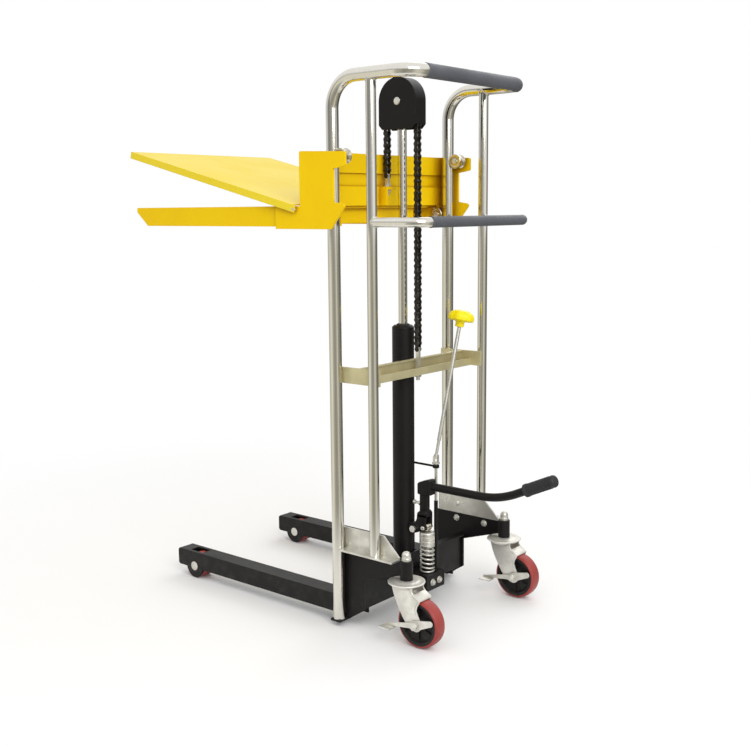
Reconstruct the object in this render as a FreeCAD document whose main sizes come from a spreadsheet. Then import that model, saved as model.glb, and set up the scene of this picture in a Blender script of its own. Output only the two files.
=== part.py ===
import FreeCAD, Part
import Sketcher
import math
import os

# Hand pallet stacker: a chromed tube mast on a black straddle base, a hydraulic
# cylinder that lifts a yellow fork carriage through a roller chain, a tilting
# platform over the forks, a foot pump, a release knob and two braked castors.
# Millimetres, +Z up, +X the operator's left, forks towards -Y. The geometry is
# drawn from the plane of the mast tubes, which lies mast_setback behind the origin.

SIZES = {
    # Mast tubes and handles
    "mast_setback": 122.0,
    "mast_half_width": 245.0,
    "mast_tube_od": 32.0,
    "mast_tube_wall": 2.5,
    "mast_foot_z": 18.0,
    "hoop_z": 1412.0,
    "hoop_bend_radius": 75.0,
    "hoop_reach": 250.0,
    "hoop_corner_radius": 58.0,
    "hoop_stub": 8.0,
    "grip_wall": 1.5,
    "rear_tube_od": 26.0,
    "rear_tube_wall": 2.0,
    "rear_tube_y": 122.0,
    "low_bow_z": 1059.0,
    "low_bow_od": 24.0,
    "low_bow_reach": 270.0,
    "low_bow_corner_radius": 46.0,
    # Cross brace between the tubes
    "brace_z": 650.0,
    "brace_height": 41.0,
    "brace_gap": 1.5,
    "brace_depth": 36.0,
    "brace_wall": 4.0,
    "brace_lip": 20.0,
    "brace_flange": 10.0,
    "brace_plate_wall": 6.0,
    "brace_plate_reach": 8.0,
    # Base: castor arms, cross wall, legs
    "arm_wall": 6.0,
    "arm_front_y": -20.0,
    "arm_top_z": 208.0,
    "arm_toe_y": 16.0,
    "arm_heel_y": 72.0,
    "arm_heel_z": 49.0,
    "arm_shoulder_z": 133.0,
    "arm_tip_z": 178.0,
    "foot_thick": 6.0,
    "castor_y": 212.0,
    "sleeve_od": 33.0,
    "sleeve_low_z": 166.0,
    "sleeve_high_z": 214.0,
    "bracket_wall": 5.0,
    "bracket_flange": 34.0,
    "bracket_rise": 58.0,
    "bracket_end_y": 190.0,
    "bracket_slope": 50.0,
    "wall_thick": 8.0,
    "wall_low_z": 48.0,
    "wall_high_z": 150.0,
    "wall_lip": 16.0,
    "floor_thick": 8.0,
    "leg_outer": 242.0,
    "leg_width": 52.0,
    "leg_low_z": 30.0,
    "leg_top_z": 80.0,
    "leg_tip_y": -654.0,
    "leg_wall": 5.0,
    "leg_nose_cut": 5.0,
    "leg_cheek_radius": 35.5,
    "leg_window_length": 54.0,
    "leg_window_width": 32.0,
    "leg_roller_inset": 72.0,
    "leg_roller_od": 73.0,
    "leg_roller_width": 38.0,
    "leg_axle_od": 16.0,
    "leg_axle_head_od": 27.0,
    "leg_axle_head_high": 2.0,
    "bolt_head_od": 15.0,
    "bolt_head_high": 6.0,
    # Lift cylinder, rod and sheave
    "cylinder_y": 27.5,
    "barrel_od": 60.0,
    "barrel_bore": 44.0,
    "barrel_floor": 25.0,
    "barrel_top_z": 766.0,
    "gland_height": 14.0,
    "gland_chamfer": 5.0,
    "rod_od": 24.0,
    "rod_foot_z": 575.0,
    "sheave_z": 1369.0,
    "sheave_hub_od": 34.0,
    "sheave_pin_od": 16.0,
    "sheave_pin_end": 2.0,
    "head_low_z": 1300.0,
    "head_high": 18.0,
    "cheek_gap": 26.0,
    "cheek_wall": 5.0,
    "cheek_width": 30.0,
    "guard_width": 44.0,
    "guard_wall": 2.0,
    "guard_low_z": 1297.0,
    "guard_room": 1.5,
    "guard_corner": 24.0,
    # Lift chain
    "chain_pitch": 15.875,
    "sheave_radius": 50.7,
    "front_tail": 27.0,
    "rear_tail": 60.0,
    "chain_inner_width": 9.6,
    "chain_plate_thick": 2.0,
    "chain_plate_height": 14.4,
    "chain_roller_od": 10.2,
    "anchor_bolt_od": 10.0,
    "anchor_nut_od": 18.0,
    "anchor_nut_high": 7.0,
    "anchor_tail": 36.0,
    # Carriage and forks
    "plate_inner": 264.0,
    "plate_wall": 6.0,
    "plate_front_y": -92.0,
    "plate_high_z": 1237.0,
    "plate_low_z": 1042.0,
    "plate_rear_y": 62.0,
    "plate_notch_y": 22.0,
    "plate_notch_low_z": 1109.0,
    "plate_notch_high_z": 1190.0,
    "plate_toe_y": -180.0,
    "plate_heel_y": 12.0,
    "fork_inner": 150.0,
    "fork_wall": 5.0,
    "fork_top_z": 1100.0,
    "fork_depth": 52.0,
    "fork_tip_y": -755.0,
    "fork_nose_cut": 46.0,
    "fork_rear_y": -56.0,
    "beam_thick": 12.0,
    "beam_rear_y": -34.0,
    "beam_height": 50.0,
    "upper_beam_z": 1184.0,
    "heel_height": 40.0,
    "heel_wall": 6.0,
    "lug_thick": 8.0,
    "lug_width": 42.0,
    "web_thick": 6.0,
    # Guide rollers
    "guide_od": 39.0,
    "guide_waist_od": 32.0,
    "guide_width": 28.0,
    "guide_shoulder": 8.0,
    "guide_side_gap": 5.0,
    "guide_axle_od": 10.0,
    "guide_head_od": 17.0,
    "upper_guide_z": 1221.0,
    "lower_guide_z": 1074.0,
    # Tilting platform
    "deck_side_gap": 7.5,
    "deck_wall": 3.5,
    "deck_lip": 19.0,
    "deck_length": 664.0,
    "deck_heel": 5.0,
    "deck_setback": 6.5,
    "deck_tilt": 13.7,
    "deck_hinge_y": -108.0,
    "deck_hinge_drop": 8.0,
    "deck_pin_od": 8.0,
    # Foot pump
    "pump_y": 108.0,
    "block_half_width": 40.0,
    "block_depth": 72.0,
    "block_low_z": 60.0,
    "block_top_z": 103.0,
    "pump_barrel_od": 27.0,
    "pump_barrel_high": 45.0,
    "plunger_od": 18.0,
    "plunger_stroke": 14.9,
    "plunger_room": 1.0,
    "cap_od": 42.0,
    "cap_height": 33.0,
    "cap_top_z": 216.0,
    "cap_rim": 4.0,
    "spring_od": 42.0,
    "spring_wire": 5.6,
    "spring_turns": 6.0,
    "spring_sides": 8.0,
    "pivot_y": 74.0,
    "pivot_z": 222.0,
    "pivot_bolt_od": 12.0,
    "lug_half_width": 10.0,
    "crank_cheek": 7.5,
    "crank_room": 2.0,
    "crank_front_y": 72.0,
    "crank_rear_y": 120.0,
    "socket_rear_y": 127.0,
    "socket_low_z": 320.0,
    "socket_high_z": 364.0,
    "crank_roller_od": 18.0,
    "crank_roller_y": 106.0,
    "pedal_bar_od": 22.0,
    "pedal_bar_z": 345.0,
    "pedal_corner_y": 340.0,
    "pedal_bend_radius": 266.0,
    "pedal_rise": 25.0,
    "pedal_arm": 178.0,
    "pedal_grip_length": 96.0,
    "pedal_grip_od": 32.0,
    # Release rod and knob
    "spindle_x": -26.0,
    "spindle_y": 119.0,
    "spindle_od": 8.0,
    "spindle_top_z": 404.0,
    "joint_z": 423.0,
    "joint_ball_od": 15.0,
    "joint_prong": 3.0,
    "guide_eye_od": 18.0,
    "guide_eye_high": 8.0,
    "guide_stud_od": 6.0,
    "release_rod_od": 8.0,
    "release_rod_length": 381.0,
    "release_lean": 13.0,
    "release_heading": 165.0,
    "knob_od": 66.0,
    "knob_height": 30.0,
    "knob_lobes": 7.0,
    "knob_hub_od": 24.0,
    "knob_hub_high": 22.0,
    # Castors
    "castor_trail": 47.0,
    "castor_od": 125.0,
    "castor_width": 38.0,
    "castor_hub_od": 98.0,
    "castor_crown": 5.0,
    "castor_rim": 7.0,
    "castor_stem_od": 16.0,
    "castor_axle_od": 12.0,
    "castor_axle_end": 2.0,
    "castor_flange_od": 96.0,
    "castor_flange_high": 7.0,
    "yoke_gap": 44.0,
    "yoke_wall": 3.5,
    "yoke_crown": 12.0,
    "yoke_top_width": 62.0,
    "yoke_lobe_od": 34.0,
    "mudguard_wall": 3.0,
    "mudguard_gap": 3.0,
    "stem_nut_od": 25.0,
    "stem_nut_high": 26.0,
    "stem_head_high": 5.0,
    "brake_wall": 3.0,
    "brake_toe": 98.0,
    "brake_tail": 46.0,
    "brake_toe_width": 26.0,
    "brake_drop": 17.0,
    "brake_rise": 15.0,
    "brake_end": 16.0,
    # Clearances
    "running_gap": 0.05,
    "slide_gap": 0.3,
    "bolt_clearance": 0.4,
}

CENTRE = FreeCAD.Vector(0, 0, 0)
doc = FreeCAD.newDocument("PalletStacker")
sheet = doc.addObject("Spreadsheet::Sheet", "Sizes")
for row, (alias, number) in enumerate(SIZES.items(), start=1):
    sheet.set("A%d" % row, alias)
    sheet.set("B%d" % row, str(number))
    sheet.setAlias("B%d" % row, alias)
doc.recompute()

nodes = {}


class Dim:
    """A length, angle or count with the sheet expression that gives it."""

    def __init__(self, number, text):
        self.number = float(number)
        self.text = text

    def __add__(self, other):
        other = dim(other)
        return Dim(self.number + other.number, "(%s + %s)" % (self.text, other.text))

    def __radd__(self, other):
        return dim(other) + self

    def __sub__(self, other):
        other = dim(other)
        return Dim(self.number - other.number, "(%s - %s)" % (self.text, other.text))

    def __rsub__(self, other):
        return dim(other) - self

    def __mul__(self, other):
        other = dim(other)
        return Dim(self.number * other.number, "(%s * %s)" % (self.text, other.text))

    def __rmul__(self, other):
        return dim(other) * self

    def __truediv__(self, other):
        other = dim(other)
        return Dim(self.number / other.number, "(%s / %s)" % (self.text, other.text))

    def __neg__(self):
        return Dim(-self.number, "(0 - %s)" % self.text)


def dim(value):
    """Any plain number as a Dim."""
    if isinstance(value, Dim):
        return value
    return Dim(value, repr(float(value)))


def size(alias):
    """The sheet's size of that name."""
    return Dim(float(sheet.get(alias)), "Sizes.%s" % alias)


def sine(angle):
    """Sine of an angle in degrees."""
    return Dim(math.sin(math.radians(angle.number)), "sin(%s)" % angle.text)


def cosine(angle):
    """Cosine of an angle in degrees."""
    return Dim(math.cos(math.radians(angle.number)), "cos(%s)" % angle.text)


def tangent(angle):
    """Tangent of an angle in degrees."""
    return Dim(math.tan(math.radians(angle.number)), "tan(%s)" % angle.text)


def whole(value):
    """The whole part of a count."""
    return Dim(math.floor(value.number), "floor(%s)" % value.text)


def bind(thing, prop, value):
    """Tie one property of an object to the sheet."""
    thing.setExpression(prop, dim(value).text)


def keep(thing, label):
    """Name a finished sub-part and set it behind the origin by the mast's setback."""
    thing.Label = label
    bind(thing, "Placement.Base.y", size("mast_setback"))
    nodes[label] = thing
    return thing


def image(source, name):
    """A piece's mirror image across the machine's middle plane."""
    copy = doc.addObject("Part::Mirroring", name)
    copy.Source = source
    copy.Normal = FreeCAD.Vector(1, 0, 0)
    copy.Base = CENTRE
    return copy


def mirrored(source, label):
    """The same piece on the other side of the machine."""
    copy = image(source, label)
    copy.Label = label
    nodes[label] = copy
    return copy


def paired(source, label):
    """One node that holds a piece and its mirror image."""
    pair = doc.addObject("Part::Compound", label)
    pair.Links = [source, image(source, label + "_right")]
    return keep(pair, label)


def new_body(label):
    """An empty body."""
    return doc.addObject("PartDesign::Body", label + "_body")


PLANES = {"XY": "XY_Plane", "XZ": "XZ_Plane", "YZ": "YZ_Plane"}


def sketch_on(body, plane, level=0.0, shift=(0.0, 0.0)):
    """A sketch on one of the body's planes, moved along its normal and in its plane."""
    sketch = body.newObject("Sketcher::SketchObject", body.Name + "_sketch")
    support = [f for f in body.Origin.OriginFeatures if f.Role == PLANES[plane]][0]
    sketch.AttachmentSupport = (support, [""])
    sketch.MapMode = "FlatFace"
    # The XZ plane's normal points towards -Y
    normal = -dim(level) if plane == "XZ" else dim(level)
    bind(sketch, "AttachmentOffset.Base.x", shift[0])
    bind(sketch, "AttachmentOffset.Base.y", shift[1])
    bind(sketch, "AttachmentOffset.Base.z", normal)
    return sketch


def pin_point(sketch, element, end, x, y):
    """Hold one point of a sketch at two sizes from the sketch's origin."""
    for kind, value in (("DistanceX", dim(x)), ("DistanceY", dim(y))):
        rule = sketch.addConstraint(Sketcher.Constraint(kind, -1, 1, element, end, value.number))
        sketch.setExpression("Constraints[%d]" % rule, value.text)


def spot(x, y):
    """A sketch point for two sizes."""
    return FreeCAD.Vector(dim(x).number, dim(y).number, 0)


def polygon(sketch, corners):
    """A closed straight-sided outline through its corners."""
    count = len(corners)
    first = sketch.GeometryCount
    for i in range(count):
        line = Part.LineSegment(spot(*corners[i]), spot(*corners[(i + 1) % count]))
        sketch.addGeometry(line, False)
    for i in range(count):
        follower = first + (i + 1) % count
        sketch.addConstraint(Sketcher.Constraint("Coincident", first + i, 2, follower, 1))
    for i in range(count):
        pin_point(sketch, first + i, 1, *corners[i])
    return sketch


def rectangle(sketch, x0, y0, x1, y1):
    """A closed rectangle between two corners."""
    return polygon(sketch, [(x0, y0), (x1, y0), (x1, y1), (x0, y1)])


def circle(sketch, x, y, diameter):
    """A circle held by its centre and diameter."""
    diameter = dim(diameter)
    ring = Part.Circle(spot(x, y), FreeCAD.Vector(0, 0, 1), diameter.number / 2)
    element = sketch.addGeometry(ring, False)
    pin_point(sketch, element, 3, x, y)
    rule = sketch.addConstraint(Sketcher.Constraint("Diameter", element, diameter.number))
    sketch.setExpression("Constraints[%d]" % rule, diameter.text)
    return sketch


def hexagon(sketch, x, y, across):
    """A six-sided head or nut, measured over its corners."""
    across = dim(across)
    half_flat = across * cosine(dim(30)) / 2
    corners = [
        (x + across / 2, y),
        (x + across / 4, y + half_flat),
        (x - across / 4, y + half_flat),
        (x - across / 2, y),
        (x - across / 4, y - half_flat),
        (x + across / 4, y - half_flat),
    ]
    return polygon(sketch, corners)


def runs(plane, toward):
    """Whether a feature on that plane has to be reversed to run towards + or - of its axis."""
    along_normal = -toward if plane == "XZ" else toward
    return along_normal < 0


def pad(body, plane, sketch, length, toward=1):
    """Extrude a sketch along its world axis."""
    feature = body.newObject("PartDesign::Pad", body.Name + "_pad")
    feature.Profile = sketch
    bind(feature, "Length", length)
    feature.Reversed = runs(plane, toward)
    return feature


def pocket(body, plane, sketch, length, toward=1):
    """Cut a sketch along its world axis."""
    feature = body.newObject("PartDesign::Pocket", body.Name + "_pocket")
    feature.Profile = sketch
    bind(feature, "Length", length)
    # A pocket runs against the sketch's normal unless it is reversed
    feature.Reversed = not runs(plane, toward)
    return feature


def spun(body, sketch, axis, cut=False):
    """Turn a sketch about its own horizontal (H) or vertical (V) axis."""
    kind = "PartDesign::Groove" if cut else "PartDesign::Revolution"
    feature = body.newObject(kind, body.Name + "_turned")
    feature.Profile = sketch
    feature.ReferenceAxis = (sketch, [axis + "_Axis"])
    feature.Angle = 360.0
    return feature


def rounded(body, base, radius, chosen):
    """Fillet the edges of a feature that pass a test on their middle point and direction."""
    doc.recompute()
    names = []
    for number, edge in enumerate(base.Shape.Edges, start=1):
        middle = edge.valueAt((edge.FirstParameter + edge.LastParameter) / 2)
        along = edge.tangentAt((edge.FirstParameter + edge.LastParameter) / 2)
        if chosen(middle, along):
            names.append("Edge%d" % number)
    feature = body.newObject("PartDesign::Fillet", body.Name + "_round")
    feature.Base = (base, names)
    bind(feature, "Radius", radius)
    return feature


def near(a, b):
    """Whether two lengths are the same to a hundredth of a millimetre."""
    return abs(a - dim(b).number) < 0.01


def swept(body, path, profile):
    """Sweep a profile along a path in the same body."""
    feature = body.newObject("PartDesign::AdditivePipe", body.Name + "_swept")
    feature.Profile = profile
    feature.Spine = path
    return feature


def bent_path(sketch, ends, radius, rising):
    """Straight runs joined by arcs: ends lists each run's two points, in order."""
    radius = dim(radius)
    lines = []
    for a, b in ends:
        lines.append(sketch.addGeometry(Part.LineSegment(spot(*a), spot(*b)), False))
    for line, (a, b) in zip(lines, ends):
        pin_point(sketch, line, 1, *a)
        pin_point(sketch, line, 2, *b)
    for i, turn in enumerate(rising):
        a = spot(*ends[i][1])
        b = spot(*ends[i + 1][0])
        along = (a - spot(*ends[i][0])).normalize()
        side = FreeCAD.Vector(-along.y, along.x, 0) * turn
        centre = a + side * radius.number
        middle = (a + b) * 0.5 - centre
        middle = centre + middle.normalize() * radius.number
        arc = sketch.addGeometry(Part.Arc(a, middle, b), False)
        ends_at = (1, 2) if turn > 0 else (2, 1)
        sketch.addConstraint(Sketcher.Constraint("Coincident", arc, ends_at[0], lines[i], 2))
        sketch.addConstraint(Sketcher.Constraint("Coincident", arc, ends_at[1], lines[i + 1], 1))
        rule = sketch.addConstraint(Sketcher.Constraint("Radius", arc, radius.number))
        sketch.setExpression("Constraints[%d]" % rule, radius.text)
    return sketch


def tube_ring(sketch, x, y, outside, wall):
    """A tube's cross-section."""
    circle(sketch, x, y, outside)
    circle(sketch, x, y, outside - 2 * wall)
    return sketch


def block(label, x0, x1, y0, y1, z0, z1):
    """A plain box between two corners, as one pad."""
    body = new_body(label)
    sketch = rectangle(sketch_on(body, "XY", z0), x0, y0, x1, y1)
    pad(body, "XY", sketch, z1 - z0)
    return body


# Places that several pieces share
mast_x = size("mast_half_width")
tube_od = size("mast_tube_od")
inner_x = mast_x - tube_od / 2
rear_x = inner_x + size("rear_tube_od") / 2
rear_y = size("rear_tube_y")
hoop_z = size("hoop_z")
hoop_straight_y = size("hoop_reach") - size("hoop_corner_radius") - size("hoop_stub")
arm_x = inner_x - size("arm_wall") / 2
castor_y = size("castor_y")
bracket_top_z = size("arm_top_z") + size("bracket_wall")
floor_top_z = size("wall_low_z") + size("floor_thick")
leg_outer = size("leg_outer")
leg_inner = leg_outer - size("leg_width")
leg_roller_y = size("leg_tip_y") + size("leg_roller_inset")
roller_z = size("leg_roller_od") / 2
rod_y = size("cylinder_y")
wall_y = rod_y + size("barrel_od") / 2
wall_rear_y = wall_y + size("wall_thick")
sheave_z = size("sheave_z")
pitch = size("chain_pitch")
lug_top = size("fork_top_z") + size("beam_height")
brace_seat = size("brace_z") + size("brace_wall")
# Links come in pairs, inner and outer; the rear run ends on one more inner link
wrap_links = 2 * whole(size("sheave_radius") * math.pi / (2 * pitch) + 0.5)
front_links = 2 * whole((sheave_z - lug_top - size("front_tail")) / (2 * pitch))
rear_links = 2 * whole((sheave_z - brace_seat - size("rear_tail")) / (2 * pitch) - 0.5) + 1
pitch_radius = pitch / (2 * sine(dim(90) / wrap_links))
front_run_y = rod_y - pitch_radius
rear_run_y = rod_y + pitch_radius
front_pin_z = sheave_z - front_links * pitch
rear_pin_z = sheave_z - rear_links * pitch
brace_y = rod_y + size("barrel_od") / 2 + size("brace_gap")
plate_inner = size("plate_inner")
plate_outer = plate_inner + size("plate_wall")
fork_low_z = size("fork_top_z") - size("fork_depth")
deck_half = plate_outer + size("deck_side_gap") + size("deck_wall")
beam_front_y = size("beam_rear_y") - size("beam_thick")
guide_reach = tube_od / 2 + size("slide_gap") + size("guide_waist_od") / 2
guide_outer = plate_inner - size("guide_side_gap")
guide_inner = guide_outer - size("guide_width")
deck_hinge_z = size("fork_top_z") - size("deck_hinge_drop")
crank_half = size("lug_half_width") + size("slide_gap") + size("crank_cheek")
crank_roller_z = size("cap_top_z") + size("crank_roller_od") / 2 + size("bolt_clearance")
castor_axle_z = size("castor_od") / 2
castor_axle_y = castor_y + size("castor_trail")
flange_low_z = size("sleeve_low_z") - size("slide_gap") - size("castor_flange_high")
anchor_hole = size("anchor_bolt_od") + size("bolt_clearance")
spindle_bore = size("spindle_od") + 2 * size("running_gap")


def mast_tubes():
    """Front tubes: upright, bent back at the top and run out to the handle's corners."""
    body = new_body("left_mast_tube")
    bend = size("hoop_bend_radius")
    path = bent_path(
        sketch_on(body, "YZ", mast_x),
        [((0, size("mast_foot_z")), (0, hoop_z - bend)), ((bend, hoop_z), (hoop_straight_y, hoop_z))],
        bend,
        [-1],
    )
    round_bar = circle(sketch_on(body, "XY", size("mast_foot_z")), mast_x, 0, tube_od)
    swept(body, path, round_bar)
    bore = sketch_on(body, "XY", size("mast_foot_z"))
    circle(bore, mast_x, 0, tube_od - 2 * size("mast_tube_wall"))
    pocket(body, "XY", bore, hoop_z - bend - size("mast_foot_z"))
    keep(body, "left_mast_tube")
    mirrored(body, "right_mast_tube")


def handle_bow(label, half_width, start_y, reach, level, corner, outside):
    """A level bow: two straight sides and a cross run with rounded corners."""
    body = new_body(label)
    path = bent_path(
        sketch_on(body, "XY", level),
        [
            ((half_width, start_y), (half_width, reach - corner)),
            ((half_width - corner, reach), (corner - half_width, reach)),
            ((-half_width, reach - corner), (-half_width, start_y)),
        ],
        corner,
        [1, 1],
    )
    round_bar = circle(sketch_on(body, "XZ", start_y), half_width, level, outside)
    swept(body, path, round_bar)
    return body


def handles():
    """Top push handle, lower handle and their sleeves."""
    corner = size("hoop_corner_radius")
    top = handle_bow(
        "top_handle_bow", mast_x, hoop_straight_y, size("hoop_reach"), hoop_z, corner, tube_od
    )
    keep(top, "top_handle_bow")
    low_od = size("low_bow_od")
    low = handle_bow(
        "lower_handle_bow",
        rear_x,
        rear_y,
        size("low_bow_reach"),
        size("low_bow_z"),
        size("low_bow_corner_radius"),
        low_od,
    )
    # The ends are coped round the rear tubes
    cope = sketch_on(low, "XY", size("low_bow_z") - low_od)
    circle(cope, rear_x, rear_y, size("rear_tube_od"))
    circle(cope, -rear_x, rear_y, size("rear_tube_od"))
    pocket(low, "XY", cope, low_od * 2)
    keep(low, "lower_handle_bow")
    grip("top_grip", mast_x - corner, size("hoop_reach"), hoop_z, tube_od)
    low_half = rear_x - size("low_bow_corner_radius")
    grip("lower_grip", low_half, size("low_bow_reach"), size("low_bow_z"), low_od)


def grip(label, half_length, y, z, inside):
    """A soft sleeve over the cross run of a handle."""
    body = new_body(label)
    sketch = sketch_on(body, "YZ", -half_length)
    circle(sketch, y, z, inside + 2 * size("grip_wall"))
    circle(sketch, y, z, inside)
    pad(body, "YZ", sketch, half_length * 2)
    keep(body, label)


def rear_tubes():
    """Rear uprights, from the base brackets up to the underside of the hoop."""
    body = new_body("left_rear_tube")
    top = hoop_z - tube_od * 0.375
    ring = tube_ring(
        sketch_on(body, "XY", bracket_top_z), rear_x, rear_y, size("rear_tube_od"), size("rear_tube_wall")
    )
    pad(body, "XY", ring, top - bracket_top_z)
    cope = circle(sketch_on(body, "XZ", rear_y - tube_od), mast_x, hoop_z, tube_od)
    pocket(body, "XZ", cope, tube_od * 2)
    paired(body, "rear_tubes")


def mid_brace():
    """Lipped channel across the mast with a plate at each end, tangent to the tubes."""
    body = new_body("mid_brace")
    low = size("brace_z")
    high = low + size("brace_height")
    wall = size("brace_wall")
    end_x = inner_x - size("brace_plate_wall")
    rear = brace_y + size("brace_depth")
    section = [
        (brace_y, low),
        (rear, low),
        (rear, low + size("brace_lip")),
        (rear - wall, low + size("brace_lip")),
        (rear - wall, low + wall),
        (brace_y + wall, low + wall),
        (brace_y + wall, high - wall),
        (brace_y + size("brace_flange"), high - wall),
        (brace_y + size("brace_flange"), high),
        (brace_y, high),
    ]
    pad(body, "YZ", polygon(sketch_on(body, "YZ", -end_x), section), end_x * 2)
    reach = size("brace_plate_reach")
    for toward in (1, -1):
        plate = sketch_on(body, "YZ", end_x * toward)
        rectangle(plate, -reach, low, rear_y + reach, high)
        pad(body, "YZ", plate, size("brace_plate_wall"), toward)
    hole = circle(sketch_on(body, "XY", low - wall), 0, rear_run_y, anchor_hole)
    pocket(body, "XY", hole, wall * 3)
    keep(body, "mid_brace")


def chain_anchor(label, y, pin_z, seat_high, seat_low):
    """Threaded chain end: tongue on the last chain pin, bolt and two nuts on a seat."""
    body = new_body(label)
    tongue = size("chain_inner_width") / 2 - size("slide_gap")
    half = size("chain_roller_od") / 2
    high = pin_z + half
    low = seat_high + size("anchor_nut_high")
    flat = rectangle(sketch_on(body, "XY", low), -tongue, y - half, tongue, y + half)
    pad(body, "XY", flat, high - low)
    bolt_low = seat_low - size("anchor_nut_high") - size("anchor_tail") / 4
    bolt = circle(sketch_on(body, "XY", bolt_low), 0, y, size("anchor_bolt_od"))
    pad(body, "XY", bolt, low - bolt_low)
    for level in (seat_high, seat_low - size("anchor_nut_high")):
        nut = hexagon(sketch_on(body, "XY", level), dim(0), y, size("anchor_nut_od"))
        pad(body, "XY", nut, size("anchor_nut_high"))
    keep(body, label)


def castor_arms():
    """Base side plates: foot under the tube, sloped arm and castor sleeve at the rear."""
    body = new_body("left_castor_arm")
    wall = size("arm_wall")
    low = size("mast_foot_z") - size("foot_thick")
    outline = [
        (size("arm_front_y"), low),
        (size("arm_toe_y"), low),
        (size("arm_heel_y"), size("arm_heel_z")),
        (size("arm_heel_y"), size("arm_shoulder_z")),
        (castor_y, size("arm_tip_z")),
        (castor_y, size("arm_top_z")),
        (size("arm_front_y"), size("arm_top_z")),
    ]
    pad(body, "YZ", polygon(sketch_on(body, "YZ", inner_x - wall), outline), wall)
    foot = sketch_on(body, "XY", low)
    half = tube_od / 2
    rectangle(foot, inner_x - wall / 2, -half, inner_x + tube_od, half)
    pad(body, "XY", foot, size("foot_thick"))
    sleeve = circle(sketch_on(body, "XY", size("sleeve_low_z")), arm_x, castor_y, size("sleeve_od"))
    pad(body, "XY", sleeve, size("sleeve_high_z") - size("sleeve_low_z"))
    bore = circle(sketch_on(body, "XY", size("sleeve_low_z")), arm_x, castor_y, size("castor_stem_od"))
    pocket(body, "XY", bore, size("sleeve_high_z") - size("sleeve_low_z"))
    keep(body, "left_castor_arm")
    mirrored(body, "right_castor_arm")


def tube_brackets():
    """Galvanised angles: upright leg inside the tubes, level leg under the rear tubes."""
    body = new_body("left_tube_bracket")
    wall = size("bracket_wall")
    low = size("arm_top_z")
    high = low + size("bracket_rise")
    end = size("bracket_end_y")
    outline = [
        (-tube_od / 2, low),
        (end, low),
        (end, low + wall * 2),
        (end - size("bracket_slope"), high),
        (-tube_od / 2, high),
    ]
    pad(body, "YZ", polygon(sketch_on(body, "YZ", inner_x - wall), outline), wall)
    level = sketch_on(body, "XY", low)
    start_y = tube_od / 2 + size("slide_gap")
    rectangle(level, inner_x - wall, start_y, inner_x - wall + size("bracket_flange"), end)
    pad(body, "XY", level, wall)
    paired(body, "tube_brackets")


def cross_wall():
    """Cross wall between the arms with a rear lip, and the floor under the cylinder."""
    body = new_body("base_cross_wall")
    half = inner_x - size("arm_wall")
    low = size("wall_low_z")
    high = size("wall_high_z")
    thick = size("wall_thick")
    lip_rear = wall_rear_y + size("wall_lip")
    section = [
        (wall_y, low),
        (wall_rear_y, low),
        (wall_rear_y, high - thick / 2),
        (lip_rear, high - thick / 2),
        (lip_rear, high),
        (wall_y, high),
    ]
    pad(body, "YZ", polygon(sketch_on(body, "YZ", -half), section), half * 2)
    floor = sketch_on(body, "XY", low)
    rectangle(floor, -leg_inner, size("arm_front_y"), leg_inner, wall_y)
    pad(body, "XY", floor, size("floor_thick"))
    # The lip is broken where the pump stands
    gap = sketch_on(body, "XY", high - thick * 0.75)
    gap_half = size("block_half_width")
    rectangle(gap, -gap_half, wall_rear_y, gap_half, lip_rear)
    pocket(body, "XY", gap, thick)
    keep(body, "base_cross_wall")


def legs():
    """Straddle legs: folded channels, open below, with a cheek round the front roller."""
    body = new_body("left_leg")
    low = size("leg_low_z")
    high = size("leg_top_z")
    tip = size("leg_tip_y")
    cut = size("leg_nose_cut")
    wall = size("leg_wall")
    heel = wall_y
    roller_y = leg_roller_y
    outline = [
        (tip + cut, low),
        (heel, low),
        (heel, high),
        (tip + cut, high),
        (tip, high - cut),
        (tip, low + cut),
    ]
    pad(body, "YZ", polygon(sketch_on(body, "YZ", leg_inner), outline), size("leg_width"))
    cheek = circle(sketch_on(body, "YZ", leg_inner), roller_y, roller_z, size("leg_cheek_radius") * 2)
    pad(body, "YZ", cheek, size("leg_width"))
    hollow = sketch_on(body, "XY", high - wall)
    rectangle(hollow, leg_inner + wall, tip + wall, leg_outer - wall, heel)
    pocket(body, "XY", hollow, high, -1)
    window = sketch_on(body, "XY", high - wall)
    middle = (leg_inner + leg_outer) / 2
    half_w = size("leg_window_width") / 2
    half_l = size("leg_window_length") / 2
    rectangle(window, middle - half_w, roller_y - half_l, middle + half_w, roller_y + half_l)
    pocket(body, "XY", window, wall)
    # Behind the tube the leg lies inside the arm plate
    step = sketch_on(body, "XY", low)
    rectangle(step, inner_x - size("arm_wall"), size("arm_front_y"), leg_outer, heel)
    pocket(body, "XY", step, high - low)
    bore = circle(sketch_on(body, "YZ", leg_inner), roller_y, roller_z, size("leg_axle_od"))
    pocket(body, "YZ", bore, size("leg_width"))
    keep(body, "left_leg")
    mirrored(body, "right_leg")

    axle = new_body("left_leg_axle")
    rod = circle(sketch_on(axle, "YZ", leg_inner), roller_y, roller_z, size("leg_axle_od"))
    pad(axle, "YZ", rod, size("leg_width"))
    for face, toward in ((leg_inner, -1), (leg_outer, 1)):
        head = circle(sketch_on(axle, "YZ", face), roller_y, roller_z, size("leg_axle_head_od"))
        pad(axle, "YZ", head, size("leg_axle_head_high"), toward)
    paired(axle, "leg_axles")

    roller = new_body("left_front_roller")
    side = (size("leg_width") - size("leg_roller_width")) / 2
    bore_r = size("leg_axle_od") / 2 + size("running_gap")
    width = size("leg_roller_width")
    outer = size("leg_roller_od") / 2
    profile = sketch_on(roller, "XZ", roller_y, (leg_inner + side, roller_z))
    rectangle(profile, 0, bore_r, width, outer)
    spun(roller, profile, "H")
    keep(roller, "left_front_roller")
    mirrored(roller, "right_front_roller")


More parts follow.
